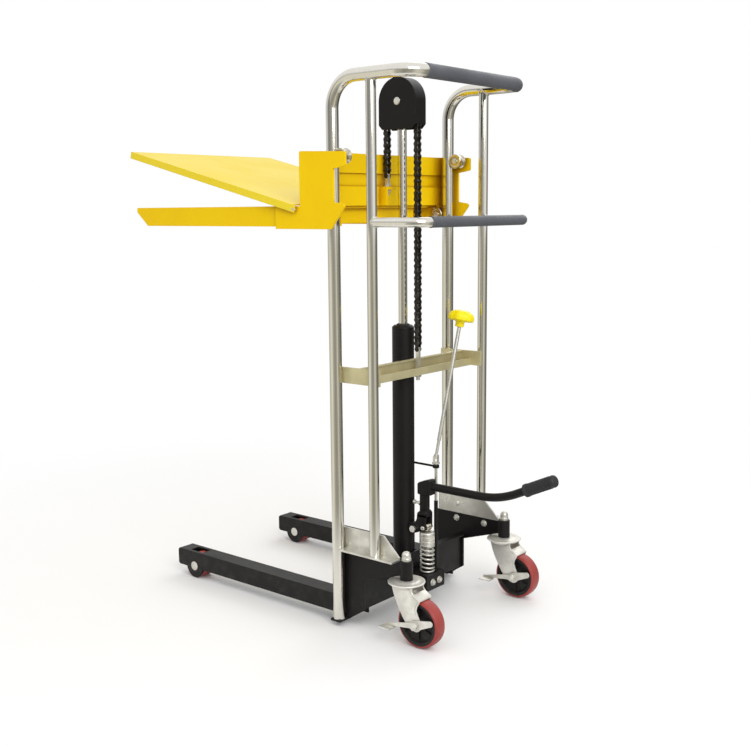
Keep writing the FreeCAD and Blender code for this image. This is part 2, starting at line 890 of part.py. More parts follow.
def frame_bolts():
    """Bolt heads on the brackets, arms and pump block, and the pedal's pivot bolt."""
    body = new_body("left_frame_bolts")
    high = size("bolt_head_high")
    od = size("bolt_head_od")
    arm_inside = inner_x - size("arm_wall")
    bolt_y = wall_y - od / 2
    for y, z, face in (
        (bolt_y, size("arm_top_z") + size("bracket_rise") / 2, inner_x - size("bracket_wall")),
        (bolt_y, size("arm_top_z") - od, arm_inside),
        (castor_y - size("sleeve_od") * 2, size("arm_top_z") - od, arm_inside),
    ):
        pad(body, "YZ", hexagon(sketch_on(body, "YZ", face), y, z, od), high, -1)
    other = image(body, "right_frame_bolts")

    pump = new_body("pump_bolts")
    rear = wall_rear_y + size("block_depth")
    middle_z = (size("block_low_z") + size("block_top_z")) / 2
    heads = sketch_on(pump, "XZ", rear)
    for x in (od, -od):
        hexagon(heads, x, middle_z, od)
    pad(pump, "XZ", heads, high)

    pivot = new_body("pivot_bolt")
    reach = crank_half + size("slide_gap")
    y = size("pivot_y")
    z = size("pivot_z")
    shaft = circle(sketch_on(pivot, "YZ", -reach), y, z, size("pivot_bolt_od"))
    pad(pivot, "YZ", shaft, reach * 2)
    for toward in (1, -1):
        head = hexagon(sketch_on(pivot, "YZ", reach * toward), y, z, size("pivot_bolt_od") + od / 2)
        pad(pivot, "YZ", head, high, toward)
    group = doc.addObject("Part::Compound", "frame_bolts")
    group.Links = [body, other, pump, pivot]
    keep(group, "frame_bolts")


def cylinder():
    """Lift cylinder: barrel with the pedal lug and the release guide, and its gland."""
    body = new_body("cylinder_barrel")
    od = size("barrel_od")
    barrel = circle(sketch_on(body, "XY", floor_top_z), 0, rod_y, od)
    pad(body, "XY", barrel, size("barrel_top_z") - floor_top_z)
    lug_half = size("lug_half_width")
    lug_end = size("pivot_bolt_od")
    lug = sketch_on(body, "YZ", -lug_half)
    rectangle(lug, rod_y, size("pivot_z") - lug_end, size("pivot_y"), size("pivot_z") + lug_end)
    pad(body, "YZ", lug, lug_half * 2)
    nose = circle(sketch_on(body, "YZ", -lug_half), size("pivot_y"), size("pivot_z"), lug_end * 2)
    pad(body, "YZ", nose, lug_half * 2)
    bolt_hole = circle(
        sketch_on(body, "YZ", -lug_half), size("pivot_y"), size("pivot_z"), size("pivot_bolt_od")
    )
    pocket(body, "YZ", bolt_hole, lug_half * 2)
    eye_z = size("spindle_top_z") - size("guide_eye_high") * 1.5
    stud_z = eye_z + size("guide_eye_high") / 2
    stud = circle(sketch_on(body, "XZ", rod_y), size("spindle_x"), stud_z, size("guide_stud_od"))
    pad(body, "XZ", stud, size("spindle_y") - rod_y)
    eye = circle(sketch_on(body, "XY", eye_z), size("spindle_x"), size("spindle_y"), size("guide_eye_od"))
    pad(body, "XY", eye, size("guide_eye_high"))
    eye_bore = circle(sketch_on(body, "XY", eye_z), size("spindle_x"), size("spindle_y"), spindle_bore)
    pocket(body, "XY", eye_bore, size("guide_eye_high"))
    bore_low = floor_top_z + size("barrel_floor")
    inside = circle(sketch_on(body, "XY", bore_low), 0, rod_y, size("barrel_bore"))
    pocket(body, "XY", inside, size("barrel_top_z") - floor_top_z)
    keep(body, "cylinder_barrel")

    gland = new_body("cylinder_gland")
    bore = size("rod_od") / 2 + size("running_gap")
    high = size("gland_height")
    cut = size("gland_chamfer")
    profile = sketch_on(gland, "XZ", rod_y, (0, size("barrel_top_z")))
    outer = od / 2
    polygon(profile, [(bore, 0), (outer, 0), (outer, high - cut), (outer - cut, high), (bore, high)])
    spun(gland, profile, "V")
    keep(gland, "cylinder_gland")


def piston_rod():
    """Chromed rod with a clevis head for the sheave."""
    body = new_body("piston_rod")
    head_low = size("head_low_z")
    shaft = circle(sketch_on(body, "XY", size("rod_foot_z")), 0, rod_y, size("rod_od"))
    pad(body, "XY", shaft, head_low - size("rod_foot_z"))
    half = size("cheek_gap") / 2 + size("cheek_wall")
    half_y = size("cheek_width") / 2
    head = rectangle(sketch_on(body, "XY", head_low), -half, rod_y - half_y, half, rod_y + half_y)
    pad(body, "XY", head, sheave_z - head_low)
    top = circle(sketch_on(body, "YZ", -half), rod_y, sheave_z, half_y * 2)
    pad(body, "YZ", top, half * 2)
    slot_half = size("cheek_gap") / 2
    slot = sketch_on(body, "XY", head_low + size("head_high"))
    rectangle(slot, -slot_half, rod_y - half_y, slot_half, rod_y + half_y)
    pocket(body, "XY", slot, sheave_z - head_low)
    hole = circle(sketch_on(body, "YZ", -half), rod_y, sheave_z, size("sheave_pin_od"))
    pocket(body, "YZ", hole, half * 2)
    keep(body, "piston_rod")

    pin = new_body("sheave_pin")
    reach = size("guard_width") / 2 + size("sheave_pin_end")
    pin_circle = circle(sketch_on(pin, "YZ", -reach), rod_y, sheave_z, size("sheave_pin_od"))
    pad(pin, "YZ", pin_circle, reach * 2)
    keep(pin, "sheave_pin")


def chain_sheave():
    """Plain chain wheel: narrow rim between the chain's plates, wider hub on the pin."""
    body = new_body("chain_sheave")
    rim = pitch_radius - size("chain_roller_od") / 2 - size("slide_gap")
    rim_half = size("chain_inner_width") / 2 - size("slide_gap")
    hub_half = size("cheek_gap") / 2 - size("slide_gap")
    hub = size("sheave_hub_od") / 2
    bore = size("sheave_pin_od") / 2 + size("running_gap")
    profile = sketch_on(body, "XZ", rod_y, (0, sheave_z))
    polygon(
        profile,
        [
            (-hub_half, bore),
            (hub_half, bore),
            (hub_half, hub),
            (rim_half, hub),
            (rim_half, rim),
            (-rim_half, rim),
            (-rim_half, hub),
            (-hub_half, hub),
        ],
    )
    spun(body, profile, "H")
    keep(body, "chain_sheave")


def sheave_guard():
    """Pressed cover over the sheave, rounded at the top and open below."""
    body = new_body("sheave_guard")
    wall = size("guard_wall")
    half_x = size("guard_width") / 2
    half_y = pitch_radius + size("chain_plate_height") / 2 + size("guard_room") + wall
    low = size("guard_low_z")
    cut = size("guard_corner") / 2
    outline = [
        (rod_y - half_y + cut, low),
        (rod_y + half_y - cut, low),
        (rod_y + half_y, low + cut),
        (rod_y + half_y, sheave_z),
        (rod_y - half_y, sheave_z),
        (rod_y - half_y, low + cut),
    ]
    pad(body, "YZ", polygon(sketch_on(body, "YZ", -half_x), outline), half_x * 2)
    crown = circle(sketch_on(body, "YZ", -half_x), rod_y, sheave_z, half_y * 2)
    pad(body, "YZ", crown, half_x * 2)
    room_x = half_x - wall
    room_y = half_y - wall
    room = sketch_on(body, "YZ", -room_x)
    rectangle(room, rod_y - room_y, low - wall, rod_y + room_y, sheave_z)
    pocket(body, "YZ", room, room_x * 2)
    room_top = circle(sketch_on(body, "YZ", -room_x), rod_y, sheave_z, room_y * 2)
    pocket(body, "YZ", room_top, room_x * 2)
    hole = circle(sketch_on(body, "YZ", -half_x), rod_y, sheave_z, size("sheave_pin_od"))
    pocket(body, "YZ", hole, half_x * 2)
    keep(body, "sheave_guard")


def side_plates():
    """Carriage side plates, notched where the mast tube shows, with a toe on the fork."""
    body = new_body("left_side_plate")
    outline = [
        (size("plate_toe_y"), size("plate_low_z")),
        (size("plate_heel_y"), size("plate_low_z")),
        (size("plate_rear_y"), size("plate_notch_low_z") - size("plate_wall")),
        (size("plate_notch_y"), size("plate_notch_low_z")),
        (size("plate_notch_y"), size("plate_notch_high_z")),
        (size("plate_rear_y"), size("plate_notch_high_z") + size("plate_wall")),
        (size("plate_rear_y"), size("plate_high_z") - size("plate_wall")),
        (size("plate_front_y"), size("plate_high_z")),
        (size("plate_front_y"), size("fork_top_z")),
        (size("plate_toe_y"), size("fork_top_z")),
    ]
    plate = pad(body, "YZ", polygon(sketch_on(body, "YZ", plate_inner), outline), size("plate_wall"))
    rounded(
        body,
        plate,
        size("plate_wall"),
        lambda p, d: abs(d.x) > 0.9
        and (
            (near(p.y, size("plate_front_y")) and near(p.z, size("plate_high_z")))
            or (near(p.y, size("plate_rear_y")))
        ),
    )
    keep(body, "left_side_plate")
    mirrored(body, "right_side_plate")


def forks():
    """Forks: folded channels that pass over the legs, with a raked nose."""
    body = new_body("left_fork")
    tip = size("fork_tip_y")
    top = size("fork_top_z")
    wall = size("fork_wall")
    cut = size("fork_nose_cut")
    depth = size("fork_depth")
    rear = size("fork_rear_y")
    outline = [
        (tip, top),
        (tip, top - depth / 4),
        (tip + cut, fork_low_z),
        (rear, fork_low_z),
        (rear, top),
    ]
    width = plate_inner - size("fork_inner")
    pad(body, "YZ", polygon(sketch_on(body, "YZ", size("fork_inner")), outline), width)
    hollow = [
        (tip + wall, top - wall),
        (tip + wall, top - depth / 4),
        (tip + cut + wall, fork_low_z - wall),
        (rear + wall, fork_low_z - wall),
        (rear + wall, top - wall),
    ]
    inside = polygon(sketch_on(body, "YZ", size("fork_inner") + wall), hollow)
    pocket(body, "YZ", inside, width - 2 * wall)
    keep(body, "left_fork")
    mirrored(body, "right_fork")


def cross_beams():
    """Upper and lower beams between the side plates, the chain lug and the heel plate."""
    upper = size("upper_beam_z")
    rear = size("beam_rear_y")
    high = size("beam_height")
    low = size("fork_top_z")
    body = block("upper_cross_beam", -plate_inner, plate_inner, beam_front_y, rear, upper, upper + high)
    # A thinner web closes the space down to the lower beam
    web = sketch_on(body, "XY", low + high)
    rectangle(web, -plate_inner, beam_front_y, plate_inner, beam_front_y + size("web_thick"))
    pad(body, "XY", web, upper - low - high)
    keep(body, "upper_cross_beam")
    body = block("lower_cross_beam", -plate_inner, plate_inner, beam_front_y, rear, low, low + high)
    half = size("lug_width") / 2
    lug_rear = front_run_y + size("anchor_nut_od") * 0.7
    lug_low = low + high - size("lug_thick")
    lug = rectangle(sketch_on(body, "XY", lug_low), -half, rear, half, lug_rear)
    pad(body, "XY", lug, size("lug_thick"))
    gusset = sketch_on(body, "YZ", half - size("lug_thick"))
    rectangle(gusset, rear, low, lug_rear, low + high)
    pad(body, "YZ", gusset, size("lug_thick"))
    hole = circle(sketch_on(body, "XY", lug_low), 0, front_run_y, anchor_hole)
    pocket(body, "XY", hole, size("lug_thick"))
    keep(body, "lower_cross_beam")
    keep(
        block(
            "heel_plate",
            -size("fork_inner"),
            size("fork_inner"),
            size("fork_rear_y") - size("heel_wall"),
            size("fork_rear_y"),
            size("fork_top_z") - size("fork_wall") - size("heel_height"),
            size("fork_top_z") - size("fork_wall"),
        ),
        "heel_plate",
    )


def guide_rollers():
    """Four grooved rollers, two behind the tubes above and two in front of them below."""
    pins = []
    for label, y, z in (
        ("left_upper_guide_roller", guide_reach, size("upper_guide_z")),
        ("left_lower_guide_roller", -guide_reach, size("lower_guide_z")),
    ):
        roller = new_body(label)
        bore = size("guide_axle_od") / 2 + size("running_gap")
        flange = size("guide_od") / 2
        waist = size("guide_waist_od") / 2
        width = size("guide_width")
        shoulder = size("guide_shoulder")
        profile = sketch_on(roller, "XZ", y, (guide_inner, z))
        polygon(
            profile,
            [
                (0, bore),
                (width, bore),
                (width, flange),
                (width - shoulder, waist),
                (shoulder, waist),
                (0, flange),
            ],
        )
        spun(roller, profile, "H")
        keep(roller, label)
        mirrored(roller, label.replace("left", "right"))

        pin = new_body(label + "_pin")
        shaft = circle(sketch_on(pin, "YZ", guide_inner), y, z, size("guide_axle_od"))
        pad(pin, "YZ", shaft, plate_inner - guide_inner)
        collar_start = guide_outer + size("slide_gap")
        collar = hexagon(sketch_on(pin, "YZ", collar_start), y, z, size("guide_head_od"))
        pad(pin, "YZ", collar, plate_inner - collar_start)
        pins.append(pin)

    hinge = new_body("hinge_pin")
    hinge_sketch = sketch_on(hinge, "YZ", plate_outer)
    circle(hinge_sketch, size("deck_hinge_y"), deck_hinge_z, size("deck_pin_od"))
    pad(hinge, "YZ", hinge_sketch, deck_half - plate_outer)
    pins.append(hinge)
    others = [image(pin, pin.Name + "_right") for pin in pins]
    group = doc.addObject("Part::Compound", "carriage_pins")
    group.Links = pins + others
    keep(group, "carriage_pins")


def load_platform():
    """Tilting platform: a plate with folded lips, hinged at its heel beside the forks."""
    body = new_body("load_platform")
    half = deck_half
    wall = size("deck_wall")
    lip = size("deck_lip")
    under = size("deck_hinge_drop") + size("slide_gap")
    top = under + wall
    length = size("deck_length")
    heel = size("deck_heel")
    outline = [(-length, top - lip), (heel, top - lip), (heel, top), (-length, top)]
    pad(body, "YZ", polygon(sketch_on(body, "YZ", -half), outline), half * 2)
    inside = sketch_on(body, "XY", under)
    rectangle(inside, wall - half, wall - length, half - wall, heel + wall)
    pocket(body, "XY", inside, lip, -1)
    # The plate stops short of the hinge, so that it clears the forks as it tips; the lips run on
    strip = sketch_on(body, "XY", under)
    rectangle(strip, wall - half, size("deck_setback") * -1, half - wall, heel + wall)
    pocket(body, "XY", strip, wall)
    hole = circle(sketch_on(body, "YZ", -half), 0, 0, size("deck_pin_od") + 2 * size("running_gap"))
    pocket(body, "YZ", hole, half * 2)
    body.Placement = FreeCAD.Placement(CENTRE, FreeCAD.Rotation(FreeCAD.Vector(1, 0, 0), -1))
    bind(body, "Placement.Rotation.Angle", size("deck_tilt") * -1)
    body.Label = "load_platform"
    bind(body, "Placement.Base.y", size("mast_setback") + size("deck_hinge_y"))
    bind(body, "Placement.Base.z", deck_hinge_z)
    nodes["load_platform"] = body


def foot_pump():
    """Pump block with its barrel, the sprung plunger and the pedal."""
    body = new_body("pump_block")
    half = size("block_half_width")
    rear = wall_rear_y + size("block_depth")
    top = size("block_top_z")
    base = rectangle(sketch_on(body, "XY", size("block_low_z")), -half, wall_rear_y, half, rear)
    pad(body, "XY", base, top - size("block_low_z"))
    pump_y = size("pump_y")
    barrel = circle(sketch_on(body, "XY", top), 0, pump_y, size("pump_barrel_od"))
    pad(body, "XY", barrel, size("pump_barrel_high"))
    bore = circle(sketch_on(body, "XY", top), 0, pump_y, size("plunger_od") + 2 * size("running_gap"))
    pocket(body, "XY", bore, size("pump_barrel_high"))
    seat = circle(sketch_on(body, "XY", top), size("spindle_x"), size("spindle_y"), spindle_bore)
    pocket(body, "XY", seat, size("spindle_od"), -1)
    keep(body, "pump_block")

    plunger = new_body("pump_plunger")
    plunger_low = top + size("plunger_stroke") + size("plunger_room")
    cap_low = size("cap_top_z") - size("cap_height")
    stem = circle(sketch_on(plunger, "XY", plunger_low), 0, pump_y, size("plunger_od"))
    pad(plunger, "XY", stem, cap_low - plunger_low)
    cap_r = size("cap_od") / 2
    rim = size("cap_rim")
    profile = sketch_on(plunger, "XZ", pump_y, (0, cap_low))
    high = size("cap_height")
    polygon(profile, [(0, 0), (cap_r, 0), (cap_r, high - rim), (cap_r - rim, high), (0, high)])
    spun(plunger, profile, "V")
    keep(plunger, "pump_plunger")


def pedal():
    """Foot pedal: forked crank, socket, bent bar and ribbed rubber grip."""
    body = new_body("pedal_lever")
    front = size("crank_front_y")
    rear = size("crank_rear_y")
    pivot_y = size("pivot_y")
    pivot_z = size("pivot_z")
    boss = size("pivot_bolt_od")
    roller_y = size("crank_roller_y")
    room = size("crank_room")
    foot_z = size("cap_top_z") + room
    outline = [
        (pivot_y - boss, pivot_z - boss / 2),
        (front + room, pivot_z - boss / 2),
        (roller_y - room, foot_z),
        (roller_y + boss, foot_z + boss),
        (rear, foot_z + 3 * boss),
        (rear, size("socket_low_z")),
        (size("socket_rear_y"), size("socket_low_z") + boss / 2),
        (size("socket_rear_y"), size("socket_high_z")),
        (front, size("socket_high_z")),
        (front, pivot_z + 2 * boss),
        (pivot_y - boss, pivot_z + boss),
    ]
    pad(body, "YZ", polygon(sketch_on(body, "YZ", -crank_half), outline), crank_half * 2)
    slot_half = crank_half - size("crank_cheek")
    slot = sketch_on(body, "YZ", -slot_half)
    slot_high = pivot_z + 3 * boss
    rectangle(slot, pivot_y - 2 * boss, pivot_z - 2 * boss, rear + boss, slot_high)
    pocket(body, "YZ", slot, slot_half * 2)
    roller = circle(sketch_on(body, "YZ", -crank_half), roller_y, crank_roller_z, size("crank_roller_od"))
    pad(body, "YZ", roller, crank_half * 2)
    hole = sketch_on(body, "YZ", -crank_half)
    circle(hole, pivot_y, pivot_z, size("pivot_bolt_od") + 2 * size("running_gap"))
    pocket(body, "YZ", hole, crank_half * 2)
    bar_z = size("pedal_bar_z")
    rise = size("pedal_rise")
    corner = size("pedal_corner_y")
    trim = size("pedal_bend_radius") * tangent(rise / 2)
    arm = size("pedal_arm")
    path = bent_path(
        sketch_on(body, "YZ", 0),
        [
            ((rear - boss, bar_z), (corner - trim, bar_z)),
            (
                (corner + trim * cosine(rise), bar_z + trim * sine(rise)),
                (corner + arm * cosine(rise), bar_z + arm * sine(rise)),
            ),
        ],
        size("pedal_bend_radius"),
        [1],
    )
    ring = circle(sketch_on(body, "XZ", rear - boss), 0, bar_z, size("pedal_bar_od"))
    swept(body, path, ring)
    keep(body, "pedal_lever")

    grip_body = new_body("pedal_grip")
    length = size("pedal_grip_length")
    bar = size("pedal_bar_od") / 2
    outer = size("pedal_grip_od") / 2
    cap = size("grip_wall") * 4
    profile = sketch_on(grip_body, "YZ", 0)
    polygon(
        profile,
        [
            (0, bar),
            (length - cap, bar),
            (length - cap, 0),
            (length, 0),
            (length, outer - cap),
            (length - cap, outer),
            (cap, outer),
            (0, outer - cap / 2),
        ],
    )
    spun(grip_body, profile, "H")
    grip_body.Placement = FreeCAD.Placement(CENTRE, FreeCAD.Rotation(FreeCAD.Vector(1, 0, 0), 1))
    bind(grip_body, "Placement.Rotation.Angle", rise)
    start = arm - length + cap
    bind(grip_body, "Placement.Base.y", size("mast_setback") + corner + start * cosine(rise))
    bind(grip_body, "Placement.Base.z", bar_z + start * sine(rise))
    grip_body.Label = "pedal_grip"
    nodes["pedal_grip"] = grip_body


def release_control():
    """Release spindle with a forked top, and the leaning rod and lobed knob that turn it."""
    body = new_body("valve_spindle")
    x = size("spindle_x")
    y = size("spindle_y")
    foot = size("block_top_z") - size("spindle_od") + size("slide_gap")
    top = size("spindle_top_z")
    pad(body, "XY", circle(sketch_on(body, "XY", foot), x, y, size("spindle_od")), top - foot)
    ball = size("joint_ball_od") / 2
    prong_in = ball + size("slide_gap")
    prong = size("joint_prong")
    fork_od = 2 * (prong_in + prong)
    pad(body, "XY", circle(sketch_on(body, "XY", top), x, y, fork_od), prong)
    for toward in (1, -1):
        tine = sketch_on(body, "XY", top)
        near_x = x + toward * prong_in
        far_x = x + toward * (prong_in + prong * 0.8)
        rectangle(tine, near_x, y - prong, far_x, y + prong)
        pad(body, "XY", tine, size("joint_z") + ball / 2 - top)
    keep(body, "valve_spindle")

    lean = math.radians(size("release_lean").number)
    heading = math.radians(size("release_heading").number)
    axis = FreeCAD.Vector(-math.sin(heading), math.cos(heading), 0)
    tilt = FreeCAD.Placement(CENTRE, FreeCAD.Rotation(axis, math.degrees(lean)))
    knuckle = doc.addObject("Part::Cylinder", "release_knuckle")
    bind(knuckle, "Radius", ball * 0.8)
    bind(knuckle, "Height", ball * 1.6)
    bind(knuckle, "Placement.Base.z", -ball * 0.8)
    shaft = doc.addObject("Part::Cylinder", "release_shaft")
    bind(shaft, "Radius", size("release_rod_od") / 2)
    bind(shaft, "Height", size("release_rod_length"))
    rod = doc.addObject("Part::Fuse", "release_rod")
    rod.Base = knuckle
    rod.Tool = shaft
    lean_in_place(rod, "release_rod", tilt)

    knob = new_body("release_knob")
    hub = size("knob_hub_od") / 2
    hub_high = size("knob_hub_high")
    outer = size("knob_od") / 2
    high = size("knob_height")
    rod_r = size("release_rod_od") / 2
    start = size("release_rod_length") - hub_high
    crown = hub_high * 0.7
    profile = sketch_on(knob, "XZ", 0, (0, start))
    polygon(
        profile,
        [
            (rod_r, 0),
            (hub, 0),
            (hub, crown),
            (outer, crown),
            (outer, crown + high * 0.5),
            (outer * 0.6, crown + high),
            (0, crown + high),
            (0, hub_high),
            (rod_r, hub_high),
        ],
    )
    spun(knob, profile, "V")
    lobes = int(size("knob_lobes").number)
    scallops = sketch_on(knob, "XY", start + crown)
    scallop_od = size("knob_od") * 0.34
    ring = outer * 1.18
    for i in range(lobes):
        angle = math.radians(360.0 * i / lobes)
        circle(scallops, ring * math.cos(angle), ring * math.sin(angle), scallop_od)
    pocket(knob, "XY", scallops, high)
    lean_in_place(knob, "release_knob", tilt)


def lean_in_place(thing, label, tilt):
    """Stand a piece of the release rod on the joint, leaning."""
    thing.Placement = tilt
    thing.Label = label
    bind(thing, "Placement.Base.x", size("spindle_x"))
    bind(thing, "Placement.Base.y", size("mast_setback") + size("spindle_y"))
    bind(thing, "Placement.Base.z", size("joint_z"))
    nodes[label] = thing


def castor(label, side):
    """One swivel castor: yoke with its axle, tread, hub and brake lever."""
    x = arm_x * side
    body = new_body(label + "_yoke")
    gap_half = size("yoke_gap") / 2
    wall = size("yoke_wall")
    half = gap_half + wall
    top_half = size("yoke_top_width") / 2
    lobe = size("yoke_lobe_od") / 2
    outline = [
        (castor_y - top_half, flange_low_z),
        (castor_axle_y - lobe, castor_axle_z),
        (castor_axle_y + lobe, castor_axle_z),
        (castor_y + top_half, flange_low_z),
    ]
    pad(body, "YZ", polygon(sketch_on(body, "YZ", x - half), outline), half * 2)
    end = circle(sketch_on(body, "YZ", x - half), castor_axle_y, castor_axle_z, lobe * 2)
    pad(body, "YZ", end, half * 2)
    crown_low = flange_low_z - size("yoke_crown")
    room = sketch_on(body, "YZ", x - gap_half)
    rectangle(room, castor_y - top_half * 2, 0, castor_axle_y + lobe * 3, crown_low)
    pocket(body, "YZ", room, gap_half * 2)
    flange_high = size("castor_flange_high")
    flange_r = size("castor_flange_od") / 2
    dome = sketch_on(body, "XZ", castor_y, (x, flange_low_z))
    bore_r = size("castor_stem_od") / 2 + size("running_gap")
    polygon(
        dome,
        [
            (bore_r, 0),
            (flange_r, 0),
            (flange_r, flange_high / 2),
            (flange_r * 0.6, flange_high),
            (bore_r, flange_high),
        ],
    )
    spun(body, dome, "V")
    stem_hole = circle(sketch_on(body, "XY", crown_low), x, castor_y, bore_r * 2)
    pocket(body, "XY", stem_hole, flange_high + size("yoke_crown"))
    # A short mudguard bridges the two cheeks over the wheel
    inner_arc = castor_axle_z + size("mudguard_gap")
    outer_arc = inner_arc + size("mudguard_wall")
    around = [dim(70 + 15 * k) for k in range(5)]
    arch = [(castor_axle_y + outer_arc * cosine(a), castor_axle_z + outer_arc * sine(a)) for a in around]
    around.reverse()
    arch += [(castor_axle_y + inner_arc * cosine(a), castor_axle_z + inner_arc * sine(a)) for a in around]
    pad(body, "YZ", polygon(sketch_on(body, "YZ", x - gap_half), arch), gap_half * 2)
    reach = half + size("castor_axle_end")
    axle = sketch_on(body, "YZ", x - reach)
    circle(axle, castor_axle_y, castor_axle_z, size("castor_axle_od"))
    pad(body, "YZ", axle, reach * 2)
    keep(body, label + "_yoke")

    tread = new_body(label + "_tread")
    width = size("castor_width")
    outer = size("castor_od") / 2
    hub_r = size("castor_hub_od") / 2
    crown = size("castor_crown")
    ring = sketch_on(tread, "XZ", castor_axle_y, (x - width / 2, castor_axle_z))
    polygon(
        ring,
        [
            (0, hub_r),
            (width, hub_r),
            (width, outer - crown),
            (width - crown, outer),
            (crown, outer),
            (0, outer - crown),
        ],
    )
    spun(tread, ring, "H")
    keep(tread, label + "_tread")

    hub = new_body(label + "_hub")
    boss = size("yoke_lobe_od") / 2
    bore = size("castor_axle_od") / 2 + size("running_gap")
    hub_half = gap_half - size("slide_gap")
    web = width / 5
    rim = size("castor_rim")
    section = sketch_on(hub, "XZ", castor_axle_y, (x, castor_axle_z))
    half_w = width / 2
    polygon(
        section,
        [
            (-hub_half, bore),
            (hub_half, bore),
            (hub_half, boss),
            (web, hub_r - rim),
            (half_w, hub_r),
            (-half_w, hub_r),
            (-web, hub_r - rim),
            (-hub_half, boss),
        ],
    )
    spun(hub, section, "H")
    keep(hub, label + "_hub")

    brake = new_body(label + "_brake_lever")
    lever_x = x + half + size("slide_gap")
    thick = size("brake_wall")
    toe_y = castor_axle_y - size("brake_toe")
    tail_y = castor_axle_y + size("brake_tail")
    toe_z = castor_axle_z - size("brake_drop")
    tail_z = castor_axle_z + size("brake_rise")
    end_half = size("brake_end") / 2
    waist = end_half * 1.2
    outline = [
        (toe_y, toe_z - thick),
        (castor_axle_y - lobe, castor_axle_z - waist),
        (castor_axle_y, castor_axle_z - lobe * 0.8),
        (tail_y, tail_z - end_half),
        (tail_y, tail_z + end_half),
        (castor_axle_y, castor_axle_z + lobe * 0.8),
        (castor_axle_y - lobe, castor_axle_z + waist / 2),
        (toe_y, toe_z + thick),
    ]
    pad(brake, "YZ", polygon(sketch_on(brake, "YZ", lever_x), outline), thick)
    tail = circle(sketch_on(brake, "YZ", lever_x), tail_y, tail_z, end_half * 2)
    pad(brake, "YZ", tail, thick)
    toe = sketch_on(brake, "XY", toe_z - thick)
    rectangle(toe, lever_x, toe_y, lever_x + size("brake_toe_width"), toe_y + size("brake_toe") * 0.35)
    pad(brake, "XY", toe, thick)
    pivot = sketch_on(brake, "YZ", lever_x)
    circle(pivot, castor_axle_y, castor_axle_z, size("castor_axle_od") + 2 * size("running_gap"))
    pocket(brake, "YZ", pivot, thick)
    keep(brake, label + "_brake_lever")


def castor_stems():
    """Castor stems through the arm sleeves, with an acorn nut above and a rivet below."""
    body = new_body("left_castor_stem")
    stem = size("castor_stem_od")
    head_top = flange_low_z - size("yoke_crown") - size("slide_gap")
    head_high = size("stem_head_high")
    nut_low = size("sleeve_high_z")
    head = hexagon(sketch_on(body, "XY", head_top - head_high), arm_x, castor_y, size("stem_nut_od"))
    pad(body, "XY", head, head_high)
    shaft = circle(sketch_on(body, "XY", head_top), arm_x, castor_y, stem)
    pad(body, "XY", shaft, nut_low - head_top)
    nut_r = size("stem_nut_od") / 2
    nut_high = size("stem_nut_high")
    acorn = sketch_on(body, "XZ", castor_y, (arm_x, nut_low))
    polygon(acorn, [(0, 0), (nut_r, 0), (nut_r, nut_high * 0.6), (nut_r * 0.45, nut_high), (0, nut_high)])
    spun(body, acorn, "V")
    paired(body, "castor_stems")


def prism(outline, direction, thick):
    """A straight prism from a closed list of points."""
    wire = Part.makePolygon(outline + [outline[0]])
    return Part.Face(wire).extrude(direction * thick)


def chain_run(label, pins, first_outer, first_rolled):
    """Roller chain through pin centres (y, z) in the plane X = 0; the last pin has no roller."""
    inner = size("chain_inner_width").number / 2
    thick = size("chain_plate_thick").number
    half_high = size("chain_plate_height").number / 2
    roller = size("chain_roller_od").number / 2
    across = FreeCAD.Vector(1, 0, 0)
    solids = []
    for i in range(len(pins) - 1):
        a = FreeCAD.Vector(0, *pins[i])
        b = FreeCAD.Vector(0, *pins[i + 1])
        along = (b - a).normalize()
        side = along.cross(across)
        shoulder = along * half_high * 0.25
        outline = [
            a - along * half_high,
            a - shoulder - side * half_high,
            b + shoulder - side * half_high,
            b + along * half_high,
            b + shoulder + side * half_high,
            a - shoulder + side * half_high,
        ]
        outer = (i % 2 == 0) == first_outer
        near_x = inner + thick if outer else inner
        for start in (near_x, -near_x - thick):
            placed = [p + across * start for p in outline]
            solids.append(prism(placed, across, thick))
    for i in range(first_rolled, len(pins) - 1):
        centre = FreeCAD.Vector(-inner, *pins[i])
        corners = []
        for k in range(6):
            angle = math.pi * k / 3
            corners.append(centre + FreeCAD.Vector(0, math.cos(angle), math.sin(angle)) * roller)
        solids.append(prism(corners, across, 2 * inner))
    feature = doc.addObject("Part::Feature", label)
    feature.Shape = Part.makeCompound(solids)
    feature.Label = label
    feature.Placement = FreeCAD.Placement(
        FreeCAD.Vector(0, size("mast_setback").number, 0), FreeCAD.Rotation()
    )
    nodes[label] = feature


def lift_chain():
    """Chain from the carriage, over the sheave and down to the brace, in three runs."""
    step = pitch.number
    top = sheave_z.number
    front_y = front_run_y.number
    rear_y_run = rear_run_y.number
    radius = pitch_radius.number
    wraps = int(wrap_links.number)
    fronts = int(front_links.number)
    rears = int(rear_links.number)
    front = [(front_y, top - k * step) for k in range(fronts + 1)]
    rear = [(rear_y_run, top - k * step) for k in range(rears + 1)]
    wrap = []
    for k in range(wraps + 1):
        angle = math.pi * (1 - k / wraps)
        wrap.append((rod_y.number + radius * math.cos(angle), top + radius * math.sin(angle)))
    chain_run("chain_front_run", front, True, 0)
    chain_run("chain_over_sheave", wrap, False, 1)
    chain_run("chain_rear_run", rear, False, 0)


